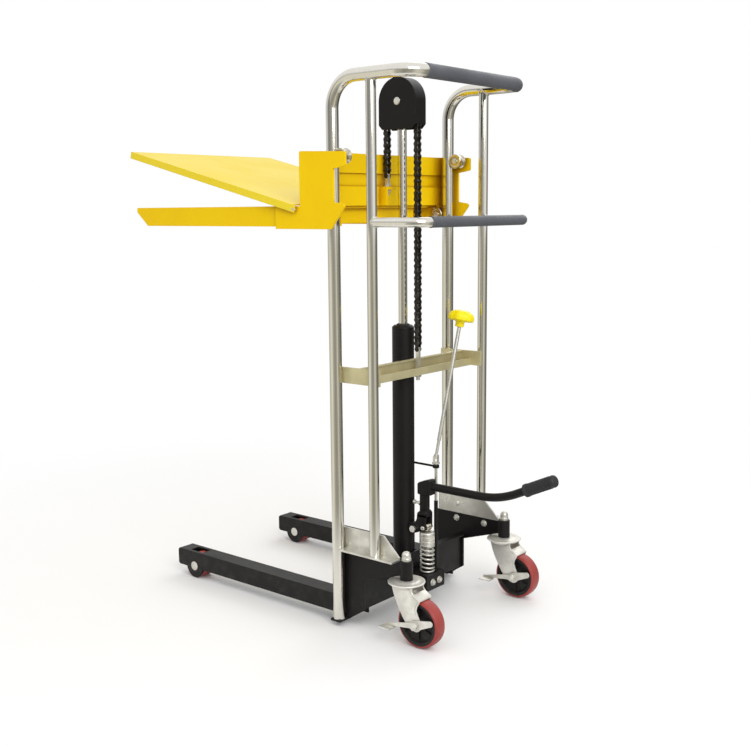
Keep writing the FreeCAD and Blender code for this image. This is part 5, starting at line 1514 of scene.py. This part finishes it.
@dataclass
class Controls(Assembly):
    """Lobed release knob, ribbed pedal grip and the soft sleeves of the handle bows."""

    joint: Triple = (-0.026, 0.241, 0.423)
    lean: Triple = (-0.217286, 0.058222, 0.97437)
    knob_start: float = 0.359
    lobes: int = 7
    rod_tube: Pair = (0.045, 0.3588)
    lobe_depth: float = 0.06
    lobe_power: float = 1.4
    lobe_steps: int = 14
    sleeve_steps: int = 60
    pedal_corner: Triple = (0.0, 0.462, 0.345)
    pedal_rise: float = 25.0
    grip_start: float = 0.088
    grip_length: float = 0.096
    grip_bore: float = 0.0111
    grip_radius: float = 0.0152
    rib_count: int = 12
    bend_far: float = 44.0
    bend_near: float = 8.0
    bow_bends: tuple[tuple[str, float], ...] = (("top_grip", 0.058), ("lower_grip", 0.046))

    def build(self) -> None:
        """Make the pieces that hand and foot touch."""
        self.knob()
        self.pedal_grip()
        for node, bend in self.bow_bends:
            self.sleeve(node, bend)

    def knob(self) -> None:
        """Moulded knob, a round hub that flares into seven soft lobes, and the tube under it."""
        along = Vector(self.lean).normalized()
        base = Vector(self.joint) + along * self.knob_start
        place = Matrix.Translation(base) @ along.to_track_quat("Z", "Y").to_matrix().to_4x4()
        levels = [
            (0.0, 0.0115, 0.0), (0.0008, 0.012, 0.0), (0.0125, 0.012, 0.0), (0.0145, 0.0135, 0.1),
            (0.0154, 0.0175, 0.4), (0.0158, 0.0275, 0.8), (0.0168, 0.0340, 1.0), (0.0190, 0.0362, 1.0),
            (0.0225, 0.0368, 1.0), (0.0280, 0.0366, 1.0), (0.0335, 0.0346, 0.95),
            (0.0385, 0.0305, 0.85), (0.0422, 0.0235, 0.6), (0.0444, 0.0175, 0.3), (0.0453, 0.0100, 0.0),
        ]
        steps = self.lobes * self.lobe_steps
        shape = Shape()
        rings = []
        for height, radius, lobed in levels:
            points = []
            for k in range(steps):
                angle = FULL_TURN * k / steps
                dip = (0.5 + 0.5 * math.cos(self.lobes * angle)) ** self.lobe_power
                reach = radius * (1 - self.lobe_depth * lobed * dip)
                points.append(place @ Vector((reach * math.cos(angle), reach * math.sin(angle), height)))
            rings.append(shape.ring(points))
        shape.skin(rings, capped=True)
        self.file(shape.made("lobed_knob"), KNOB, "release", "release_knob")
        start, end = (level - self.knob_start for level in self.rod_tube)
        wall = [
            (0.0041, start), (0.0047, start), (0.0051, start + 0.0006), (0.0051, end), (0.0041, end),
            (0.0041, start),
        ]
        self.file(self.turned("release_rod_tube", wall, place, steps=28), ZINC, "release")

    def pedal_grip(self) -> None:
        """Rubber sleeve with ribs and a round end."""
        rise = math.radians(self.pedal_rise)
        along = Vector((0, math.cos(rise), math.sin(rise)))
        base = Vector(self.pedal_corner) + along * self.grip_start
        turn = along.to_track_quat("Z", "Y").to_matrix().to_4x4()
        place = Matrix.Translation(base) @ turn
        length = self.grip_length
        outer = self.grip_radius
        collar = outer + 0.0022
        profile = [
            (self.grip_bore, 0.0), (collar - 0.0012, 0.0), (collar, 0.0012), (collar, 0.0078),
            (collar - 0.0012, 0.009), (outer, 0.0096), (outer, length - 0.012),
            (outer + 0.0008, length - 0.010),
        ]
        profile += arc((outer - 0.0072, length - 0.008), 0.008, 0, 90, 7)
        profile += [(0, length), (0, length - 0.006), (self.grip_bore, length - 0.006), (self.grip_bore, 0.0)]
        shape = Shape()
        shape.lathe(profile, place, steps=48)
        swell = [
            (outer - 0.0006, -0.0021), (outer + 0.0007, -0.0016), (outer + 0.0012, -0.0008),
            (outer + 0.0012, 0.0008), (outer + 0.0007, 0.0016), (outer - 0.0006, 0.0021),
            (outer - 0.0006, -0.0021),
        ]
        rib = self.turned("grip_rib", swell, ORIGIN, steps=48)
        first, last = 0.014, length - 0.018
        spots = []
        for k in range(self.rib_count):
            where = first + (last - first) * k / (self.rib_count - 1)
            spots.append((base + along * where, turn.to_euler()))
        self.patterned(shape, rib, spots, PEDAL_RUBBER)
        self.file(shape.made("ribbed_pedal_grip"), PEDAL_RUBBER, "pedal", "pedal_grip")

    def sleeve(self, node: str, bend: float) -> None:
        """Sleeve over a bow's straight run and a little way round its bends, with a bead at each end.

        Args:
            node: CAD node of the sleeve.
            bend: radius of the bow's bends.
        """
        low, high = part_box(node)
        radius = (high.z - low.z) / 2
        first = -high.x - bend * math.radians(self.bend_far)
        last = high.x + bend * math.radians(self.bend_near)
        swell = (
            (0.0, -0.0022), (0.0002, -0.0008), (0.0010, 0.0), (0.0022, 0.0003), (0.0042, 0.0003),
            (0.0056, 0.0),
        )
        stations = [(first + step, radius + grow) for step, grow in swell]
        bead = swell[-1][0]
        start, end = first + bead, last - bead
        steps = self.sleeve_steps
        stations += [(start + (end - start) * k / steps, radius) for k in range(1, steps)]
        stations += [(last - step, radius + grow) for step, grow in reversed(swell)]
        shape = Shape()
        path = [self.bow_point(along, high.x, bend, middle(node)) for along, _ in stations]
        shape.sweep(path, [size for _, size in stations], sides=36)
        self.file(shape.made(f"{node}_sleeve"), SLEEVE, "mast_frame", node)

    def bow_point(self, along: float, straight: float, bend: float, centre: Vector) -> Vector:
        """Find a point of a bow's middle line.

        Args:
            along: way from the middle of the bow.
            straight: half length of the straight run.
            bend: radius of the bends.
            centre: middle of the straight run.

        Returns:
            The point, on the straight or round the bend.
        """
        past = abs(along) - straight
        if past <= 0:
            return Vector((along, centre.y, centre.z))
        turn = past / bend
        x = straight + bend * math.sin(turn)
        return Vector((math.copysign(x, along), centre.y - bend * (1 - math.cos(turn)), centre.z))


@dataclass
class PedalCrank(Assembly):
    """Forked crank of the foot pedal with its socket, bent bar, roller and adjusting screw."""

    pivot: Pair = (0.196, 0.222)
    roller: Pair = (0.228, 0.2287)
    roller_radius: float = 0.0122
    pivot_boss: float = 0.0125
    roller_boss: float = 0.0086
    cheek_inner: float = 0.01025
    cheek: float = 0.0075
    bar_half: float = 0.0075
    bar_front: float = 0.2095
    bar_rear: float = 0.2345
    socket_half: float = 0.014
    rod: float = 0.011
    rod_z: float = 0.345
    rod_start: float = 0.232
    corner_y: float = 0.462
    rise: float = 25.0
    bend: float = 0.266
    bend_steps: int = 24
    arm: float = 0.178
    screw_z: float = 0.293
    screw_tip: float = 0.1845
    hexagon: float = 0.0072

    def build(self) -> None:
        """Make the crank and its bright hardware."""
        crank = Shape()
        for start in (self.cheek_inner, -self.cheek_inner - self.cheek):
            crank.slab(self.cheek_outline(), self.cheek, across(start), edge=0.0012, steps=2)
        half = self.cheek_inner + self.cheek
        bridge = [
            (0.2085, 0.2585), (0.2355, 0.2585), (0.2355, 0.2685), (0.2300, 0.2740), (0.2140, 0.2740),
            (0.2085, 0.2685),
        ]
        crank.slab(bridge, 2 * half, across(-half), edge=0.0012, steps=2)
        bar = [
            (self.bar_front, 0.260), (self.bar_rear, 0.260), (self.bar_rear, 0.330),
            (self.bar_front, 0.330),
        ]
        crank.slab(bar, 2 * self.bar_half, across(-self.bar_half), edge=0.0018, steps=3)
        socket = [
            (0.2065, 0.3235), (0.2100, 0.3205), (0.2450, 0.3205), (0.2490, 0.3245), (0.2490, 0.3600),
            (0.2455, 0.3640), (0.2390, 0.3640), (0.2110, 0.3545), (0.2065, 0.3495),
        ]
        crank.slab(socket, 2 * self.socket_half, across(-self.socket_half), edge=0.002, steps=3)
        path = self.rod_path()
        crank.sweep(path, [self.rod] * len(path), sides=28)
        self.file(crank.made("pedal_crank"), BLACK, "pedal", "pedal_lever")
        face = self.cheek_inner - 0.0004
        rim = [
            (0.0, -face), (0.0095, -face), (self.roller_radius - 0.0008, 0.0012 - face),
            (self.roller_radius, 0.002 - face),
        ]
        rim += [(r, -z) for r, z in reversed(rim)]
        self.file(self.turned("crank_roller", rim, facing_x(0, *self.roller), steps=48), BEARING, "pedal")
        self.file(self.screws(half), ZINC, "pedal")

    def cheek_outline(self) -> list[Pair]:
        """Outline of a fork cheek in Y and Z, from the pivot to the roller and up to the bridge.

        Returns:
            The outline.
        """
        points = arc(self.pivot, self.pivot_boss, 135, 285, 10)
        points += arc(self.roller, self.roller_boss, 255, 390, 10)
        return points + [
            (0.2355, 0.2470), (0.2355, 0.2660), (0.2085, 0.2660), (0.2070, 0.2520), (0.2010, 0.2405),
        ]

    def rod_path(self) -> list[Vector]:
        """Middle line of the bent bar: level out of the socket, then up to the grip.

        Returns:
            The points of the line.
        """
        rise = math.radians(self.rise)
        trim = self.bend * math.tan(rise / 2)
        path = [Vector((0, self.rod_start, self.rod_z))]
        for k in range(self.bend_steps + 1):
            turn = rise * k / self.bend_steps
            y = self.corner_y - trim + self.bend * math.sin(turn)
            path.append(Vector((0, y, self.rod_z + self.bend * (1 - math.cos(turn)))))
        y, z = self.corner_y + self.arm * math.cos(rise), self.rod_z + self.arm * math.sin(rise)
        path.append(Vector((0, y, z)))
        return path

    def screws(self, half: float) -> bpy.types.Object:
        """Screw that sets the crank's rest, and the heads of the roller's bolt.

        Args:
            half: half the width over the cheeks.

        Returns:
            The piece.
        """
        shape = Shape()
        lie = Matrix.Translation((0, self.bar_front, self.screw_z)) @ Matrix.Rotation(QUARTER, 4, "X")
        reach = self.bar_front - self.screw_tip
        shape.lathe(
            [(0, -0.001), (0.0036, -0.001), (0.0036, reach - 0.001), (0, reach - 0.001)], lie, steps=20,
        )
        nut = arc((0, 0), self.hexagon, 0, 300, 6)
        shape.slab(nut, 0.005, lie, edge=0.0008, steps=2)
        shape.slab(nut, 0.0048, lie @ Matrix.Translation((0, 0, reach - 0.005)), edge=0.0008, steps=2)
        dome = [
            (0, 0.0042), (0.0030, 0.0040), (0.0052, 0.0030), (0.0062, 0.0012), (0.0064, -0.0004),
            (0, -0.0004),
        ]
        for sign in (1, -1):
            shape.lathe(dome, facing_x(sign * half, *self.roller, sign), steps=32)
        return shape.made("crank_screws")


@dataclass
class Fasteners(Assembly):
    """Washers, screw threads, circlips and the wiper at the rod's gland."""

    thread_pitch: float = 0.0015
    thread_count: int = 6
    thread_start: float = 0.001
    side_bolts: tuple[Triple, ...] = (
        (0.224, 0.172, 0.237), (0.223, 0.172, 0.193), (0.223, 0.268, 0.193),
    )
    wall_bolt: Triple = (0.015, 0.2595, 0.0815)

    def build(self) -> None:
        """Make the small hardware."""
        self.washers()
        self.threads()
        self.circlips()
        self.wiper()

    def washers(self) -> None:
        """Washers round the bolt heads of the base, with a raised pip on each head."""
        pattern = Shape()
        washer = [
            (0.0067, 0), (0.0090, 0), (0.0094, 0.0004), (0.0094, 0.0012), (0.0090, 0.0016),
            (0.0067, 0.0016),
        ]
        pattern.lathe([*washer, washer[0]], ORIGIN, steps=36)
        pip = [(0, 0.0059), (0.0056, 0.0059), (0.0056, 0.0064), (0.0048, 0.0070), (0, 0.0070)]
        pattern.lathe(pip, ORIGIN, steps=24)
        spots = []
        for side in Side:
            turn = Euler((0, -side.value * QUARTER, 0))
            spots += [(Vector((side.value * x, y, z)), turn) for x, y, z in self.side_bolts]
            x, y, z = self.wall_bolt
            spots.append((Vector((side.value * x, y, z)), Euler((-QUARTER, 0, 0))))
        piece = self.repeated("bolt_washers", pattern.made("washer"), spots, ZINC)
        self.file(piece, ZINC, "mast_frame")

    def threads(self) -> None:
        """Thread crests on the tails of the two chain anchors."""
        crest = [(0.0048, -0.0006), (0.0054, 0.0), (0.0048, 0.0006), (0.0048, -0.0006)]
        for node, body in (("rear_chain_anchor", "mast_frame"), ("front_chain_anchor", "carriage")):
            y, low = middle(node).y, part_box(node)[0].z + self.thread_start
            levels = [low + k * self.thread_pitch for k in range(self.thread_count)]
            spots = [(Vector((0, y, level)), UNTURNED) for level in levels]
            pattern = self.turned("thread_crest", crest, ORIGIN, steps=28)
            self.file(self.repeated(f"{node}_thread", pattern, spots, ZINC), ZINC, body)

    def circlips(self) -> None:
        """Retaining rings on the sheave pin, outside the guard."""
        centre = middle("sheave_pin")
        section = [
            (0.0079, 0), (0.0096, 0), (0.0101, 0.0005), (0.0096, 0.0012), (0.0079, 0.0012), (0.0079, 0),
        ]
        ring = self.turned("circlip", section, ORIGIN, steps=40)
        guard_low, guard_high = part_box("sheave_guard")
        spots = [
            (Vector((guard_high.x, centre.y, centre.z)), Euler((0, QUARTER, 0))),
            (Vector((guard_low.x, centre.y, centre.z)), Euler((0, -QUARTER, 0))),
        ]
        piece = self.repeated("sheave_circlips", ring, spots, ZINC)
        self.file(piece, ZINC, "lift_rod")

    def wiper(self) -> None:
        """Rubber lip that wipes the rod above the gland."""
        centre = middle("cylinder_gland")
        place = upright(centre.x, centre.y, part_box("cylinder_gland")[1].z)
        profile = [
            (0.01215, 0), (0.0175, 0), (0.0178, 0.0008), (0.0172, 0.0030), (0.0150, 0.0042),
            (0.0128, 0.0050), (0.01215, 0.0046), (0.01215, 0),
        ]
        self.file(self.turned("rod_wiper", profile, place, steps=48), PEDAL_RUBBER, "mast_frame")


@dataclass
class Welds(Assembly):
    """Rippled weld beads where tubes and plates meet."""

    tube_x: float = 0.242
    tube_y: float = 0.244
    tube: float = 0.013
    hoop_x: float = 0.245
    hoop_z: float = 1.412
    hoop: float = 0.016
    bow_z: float = 1.059
    bow: float = 0.012
    ripple: float = 0.0032
    ripple_step: float = 0.62
    ripple_size: float = 0.72
    lip: float = 0.205
    lip_over: float = 0.0002
    lip_under: float = 0.0015
    lip_behind: float = 0.0028
    sleeve: float = 0.0165
    sleeve_y: float = 0.334
    sleeve_ends: Pair = (0.178, 0.207)
    arm_faces: Pair = (0.229, 0.223)
    arm_half: float = 0.003
    seam_x: float = 0.264
    seam_y: float = 0.088
    seam_height: float = 0.050
    seam_end: float = 0.001

    def build(self) -> None:
        """Lay the beads of each finish as one piece."""
        chrome, black, yellow = [], [], []
        for side in Side:
            chrome += self.hoop_joint(side) + self.bow_joint(side)
            black += self.sleeve_seams(side)
            yellow += self.beam_seams(side)
        for name, spots, finish, body in (
            ("tube_welds", chrome, CHROME, "mast_frame"),
            ("sleeve_welds", black, BLACK, "mast_frame"),
            ("beam_welds", yellow, YELLOW, "carriage"),
        ):
            piece = self.repeated(name, self.ripple_pattern(), [(spot, UNTURNED) for spot in spots], finish)
            self.file(piece, finish, body)
        self.heel_lip()

    def heel_lip(self) -> None:
        """Strip that closes the slot between the heel plate and the lower beam."""
        heel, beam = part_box("heel_plate")[1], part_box("lower_cross_beam")[0]
        strip = Shape()
        front, rear = heel.y - self.lip_over, beam.y + self.lip_behind
        low = heel.z - self.lip_under
        outline = [(front, low), (rear, low), (rear, beam.z), (front, beam.z)]
        strip.slab(outline, 2 * self.lip, across(-self.lip), edge=0.0004, steps=1)
        self.file(strip.made("heel_lip"), YELLOW, "carriage")

    def ripple_pattern(self) -> bpy.types.Object:
        """One ripple of a bead, a squat round drop."""
        profile = arc((0, 0), self.ripple * self.ripple_size, -90, 90, 6)
        return self.turned("weld_ripple", profile, ORIGIN, steps=8)

    def round_joint(self, radius: float) -> list[float]:
        """Angles of the ripples round a joint."""
        count = int(FULL_TURN * radius / (self.ripple * self.ripple_step))
        return [FULL_TURN * k / count for k in range(count)]

    def hoop_joint(self, side: Side) -> list[Vector]:
        """Ripples round a rear tube's head, under the hoop.

        Args:
            side: of the machine.

        Returns:
            The middle of each ripple.
        """
        spots = []
        for angle in self.round_joint(self.tube):
            x = self.tube_x + self.tube * math.cos(angle)
            z = self.hoop_z - math.sqrt(self.hoop ** 2 - (x - self.hoop_x) ** 2)
            spots.append(Vector((side.value * x, self.tube_y + self.tube * math.sin(angle), z)))
        return spots

    def bow_joint(self, side: Side) -> list[Vector]:
        """Ripples round the lower bow's end, on the rear tube.

        Args:
            side: of the machine.

        Returns:
            The middle of each ripple.
        """
        spots = []
        for angle in self.round_joint(self.bow):
            x = self.bow * math.cos(angle)
            y = self.tube_y + math.sqrt(self.tube ** 2 - x ** 2)
            spots.append(Vector((side.value * (self.tube_x + x), y, self.bow_z + self.bow * math.sin(angle))))
        return spots

    def rise(self, x: float, y: float, low: float, high: float) -> list[Vector]:
        """Ripples up a straight seam.

        Args:
            x: place of the seam.
            y: place of the seam.
            low: its lower end.
            high: its upper end.

        Returns:
            The middle of each ripple.
        """
        start, end = Vector((x, y, low)), Vector((x, y, high))
        count = max(2, int((end - start).length / (self.ripple * self.ripple_step)))
        return [start.lerp(end, k / (count - 1)) for k in range(count)]

    def sleeve_seams(self, side: Side) -> list[Vector]:
        """Upright seams between a castor sleeve and its arm plate.

        Args:
            side: of the machine.

        Returns:
            The middle of each ripple.
        """
        spots = []
        reach = math.sqrt(self.sleeve ** 2 - self.arm_half ** 2)
        for x in self.arm_faces:
            spots += self.rise(side.value * x, self.sleeve_y - reach, *self.sleeve_ends)
        return spots

    def beam_seams(self, side: Side) -> list[Vector]:
        """Seams at the ends of the two beams, on the side plates.

        Args:
            side: of the machine.

        Returns:
            The middle of each ripple.
        """
        spots = []
        for node in ("upper_cross_beam", "lower_cross_beam"):
            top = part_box(node)[1].z
            low = top - self.seam_height + self.seam_end
            spots += self.rise(side.value * self.seam_x, self.seam_y, low, top - self.seam_end)
        return spots


@dataclass
class Studio:
    """Camera at the photograph's place, soft light, pale floor and backdrop."""

    eye: Triple = (2.25645, 1.91821, 1.09220)
    yaw: float = 39.633
    pitch: float = 8.898
    roll: float = -0.503
    lens: float = 51.03
    sensor: float = 36.0
    view_end: float = 100.0
    aim: Triple = (0.0, 0.0, 0.7)
    floor_half: float = 40.0
    floor_z: float = -0.0005
    key_place: Triple = (2.0, 3.6, 2.8)
    key_size: float = 2.6
    key_power: float = 92.0
    rim_place: Triple = (-3.4, -0.6, 3.0)
    rim_power: float = 28.0
    room_low: float = 0.74
    room_high: float = 1.0
    room: tuple[float, ...] = (1.0, 0.995, 0.985, 1.0)
    ceiling: tuple[float, ...] = (1.0, 1.0, 0.99, 1.0)
    panel_heights: Pair = (0.10, 0.42)
    bounce: float = 0.62
    white_from: float = 1.0
    white_at: float = 2.4
    mirror_from: float = 0.5
    mirror_at: float = 1.5
    wall_panels: tuple[Pair, ...] = (
        (0.000, 0.20), (0.111, 0.42), (0.236, 0.88), (0.333, 0.70), (0.430, 0.26), (0.514, 0.32),
        (0.611, 0.52), (0.694, 0.86), (0.750, 1.00), (0.800, 0.95), (0.847, 0.42), (0.917, 0.18),
        (1.000, 0.20),
    )
    floor_panels: tuple[Pair, ...] = (
        (0.000, 0.18), (0.111, 0.42), (0.256, 0.58), (0.375, 0.84), (0.439, 0.88), (0.500, 0.50),
        (0.583, 0.34), (0.639, 0.40), (0.708, 0.72), (0.755, 0.62), (0.805, 0.34), (0.875, 0.20),
        (0.958, 0.14), (1.000, 0.18),
    )
    wall_tint: Colour = (1.0, 0.99, 0.95)
    floor_tint: Colour = (1.0, 0.965, 0.835)

    def build(self) -> None:
        """Set up everything that isn't the machine."""
        self.camera()
        self.lights()
        self.world(self.room_panels("wall_panels", self.wall_panels, self.wall_tint))
        self.floor(self.room_panels("floor_panels", self.floor_panels, self.floor_tint))
        bpy.context.scene.view_settings.view_transform = "Standard"

    def camera(self) -> None:
        """Camera fitted to the photograph."""
        yaw, pitch, roll = (math.radians(a) for a in (self.yaw, self.pitch, self.roll))
        ahead = Vector((-math.cos(yaw) * math.cos(pitch), -math.sin(yaw) * math.cos(pitch), -math.sin(pitch)))
        level = ahead.cross(Vector((0, 0, 1))).normalized()
        right = level * math.cos(roll) + level.cross(ahead) * math.sin(roll)
        up = right.cross(ahead)
        data = bpy.data.cameras.new("camera")
        data.lens = self.lens
        data.sensor_width = self.sensor
        data.clip_end = self.view_end
        camera = bpy.data.objects.new("camera", data)
        turn = Matrix((right, up, -ahead)).transposed().to_4x4()
        camera.matrix_world = Matrix.Translation(self.eye) @ turn
        bpy.context.scene.collection.objects.link(camera)
        bpy.context.scene.camera = camera

    def lights(self) -> None:
        """A broad key lamp and a weaker one behind."""
        for name, place, power in (
            ("key", self.key_place, self.key_power), ("rim", self.rim_place, self.rim_power),
        ):
            data = bpy.data.lights.new(name, "AREA")
            data.energy = power
            data.size = self.key_size
            lamp = bpy.data.objects.new(name, data)
            lamp.location = place
            lamp.rotation_mode = "QUATERNION"
            lamp.rotation_quaternion = (Vector(self.aim) - Vector(place)).to_track_quat("-Z", "Y")
            bpy.context.scene.collection.objects.link(lamp)

    def room_panels(self, name: str, levels: Sequence[Pair], tint: Colour) -> bpy.types.NodeTree:
        """Group that gives the tone of the room in a direction, for what metal mirrors.

        Args:
            name: of the group.
            levels: share of a full turn, and grey level there.
            tint: colour of full light.

        Returns:
            The node group.
        """
        desk = NodeDesk(bpy.data.node_groups.new(name, "ShaderNodeTree"))
        desk.socket("Vector", "NodeSocketVector")
        desk.socket("Color", "NodeSocketColor", "OUTPUT")
        parts = desk.split(desk.add("NodeGroupInput").outputs["Vector"])
        angle = desk.math("ARCTAN2", parts["Y"], parts["X"], clamped=False)
        turn = desk.mapped(angle, {"From Min": -math.pi, "From Max": math.pi})
        tones = desk.add("ShaderNodeValToRGB", {"Fac": turn})
        self.stops(tones.color_ramp, levels, tint)
        desk.add("NodeGroupOutput", {"Color": tones.outputs["Color"]})
        return desk.tree

    def stops(self, ramp: bpy.types.ColorRamp, levels: Sequence[Pair], tint: Colour) -> None:
        """Set a ramp's stops to tinted grey levels.

        Args:
            ramp: to set.
            levels: place and grey level of each stop.
            tint: colour of full light.
        """
        ramp.interpolation = "EASE"
        while len(ramp.elements) < len(levels):
            ramp.elements.new(0.5)
        for stop, (where, level) in zip(ramp.elements, levels):
            stop.position = where
            stop.color = (*(level * part for part in tint), 1.0)

    def mirroring(self, desk: NodeDesk, ray: bpy.types.bpy_prop_collection) -> Socket:
        """Tell the rays that metal or glass sends on."""
        return desk.math("MAXIMUM", ray["Is Glossy Ray"], ray["Is Transmission Ray"])

    def world(self, panels: bpy.types.NodeTree) -> None:
        """Soft light, strongest from above; seen white, and mirrored as a room of lighter and darker panels.

        Args:
            panels: group that gives the room's tones.
        """
        world = bpy.data.worlds.new("studio")
        world.use_nodes = True
        bpy.context.scene.world = world
        world.node_tree.nodes.clear()
        desk = NodeDesk(world.node_tree)
        ray = desk.add("ShaderNodeLightPath").outputs
        way = desk.add("ShaderNodeTexCoord").outputs["Generated"]
        height = desk.split(way)["Z"]
        walls = desk.add("ShaderNodeGroup", {"Vector": way}, node_tree=panels).outputs["Color"]
        low, high = self.panel_heights
        above = desk.mapped(height, {"From Min": low, "From Max": high})
        mirrored = desk.mixed(above, walls, self.ceiling)
        strength = desk.mapped(height, {"To Min": self.room_low, "To Max": self.room_high})
        room = desk.add("ShaderNodeBackground", {"Color": self.room, "Strength": strength}).outputs[0]
        seen = desk.add("ShaderNodeBackground", {"Color": mirrored, "Strength": 1.0}).outputs[0]
        shown = desk.add("ShaderNodeBackground", {"Color": WHITE, "Strength": 1.0}).outputs[0]
        first = desk.mixed_shader(self.mirroring(desk, ray), room, seen)
        second = desk.mixed_shader(ray["Is Camera Ray"], first, shown)
        desk.add("ShaderNodeOutputWorld", {"Surface": second})

    def floor(self, panels: bpy.types.NodeTree) -> None:
        """Plain pale floor that keeps the shadow.

        Args:
            panels: group that gives the tones that metal mirrors far out.
        """
        shape = Shape()
        corners = ((-1, -1), (1, -1), (1, 1), (-1, 1))
        shape.bm.faces.new(shape.ring((x * self.floor_half, y * self.floor_half, 0) for x, y in corners))
        floor = shape.made("floor")
        floor.location.z = self.floor_z
        material = bpy.data.materials.new("pale_floor")
        material.use_nodes = True
        desk = NodeDesk(material.node_tree)
        desk.tree.nodes.clear()
        mottle = desk.add("ShaderNodeTexNoise", {"Scale": 3.0, "Detail": 2.0}).outputs["Fac"]
        tint = desk.mapped(mottle, {"To Min": 0.90, "To Max": 0.94})
        values = {"Base Color": tint, "Roughness": 0.8, "Specular IOR Level": 0.1}
        shader = desk.add("ShaderNodeBsdfPrincipled", values).outputs["BSDF"]
        grey = (self.bounce, self.bounce, self.bounce, 1.0)
        dull = desk.add("ShaderNodeBsdfDiffuse", {"Color": grey}).outputs["BSDF"]
        # Away from the machine the floor is seen as white as the backdrop,
        # and mirrored with the room's panels.
        place = desk.add("ShaderNodeTexCoord").outputs["Object"]
        reach = desk.add("ShaderNodeVectorMath", {0: place}, operation="LENGTH").outputs["Value"]
        ray = desk.add("ShaderNodeLightPath").outputs
        shares = []
        for rays, near, far in (
            (ray["Is Camera Ray"], self.white_from, self.white_at),
            (self.mirroring(desk, ray), self.mirror_from, self.mirror_at),
        ):
            distance = desk.mapped(reach, {"From Min": near, "From Max": far}, smooth=True)
            shares.append(desk.math("MULTIPLY", rays, distance))
        walls = desk.add("ShaderNodeGroup", {"Vector": place}, node_tree=panels).outputs["Color"]
        shown = desk.mixed(ray["Is Camera Ray"], walls, WHITE)
        white = desk.add("ShaderNodeEmission", {"Color": shown, "Strength": 1.0}).outputs[0]
        lit = desk.mixed_shader(ray["Is Diffuse Ray"], shader, dull)
        mixed = desk.mixed_shader(desk.math("MAXIMUM", *shares), lit, white)
        desk.add("ShaderNodeOutputMaterial", {"Surface": mixed})
        floor.data.materials.append(material)


def main() -> None:
    """Build the studio, dress the CAD nodes and add the pieces that Blender makes."""
    Studio().build()
    shop = Paintshop()
    repeater = Repeater()
    for assembly in (CadCoats, LiftChain, FootPump, PedalCrank, Castors, Rollers, Controls, Fasteners, Welds):
        assembly(shop, repeater).build()
        log.info("%s done", assembly.__name__)


if __name__ == "__main__":
    main()
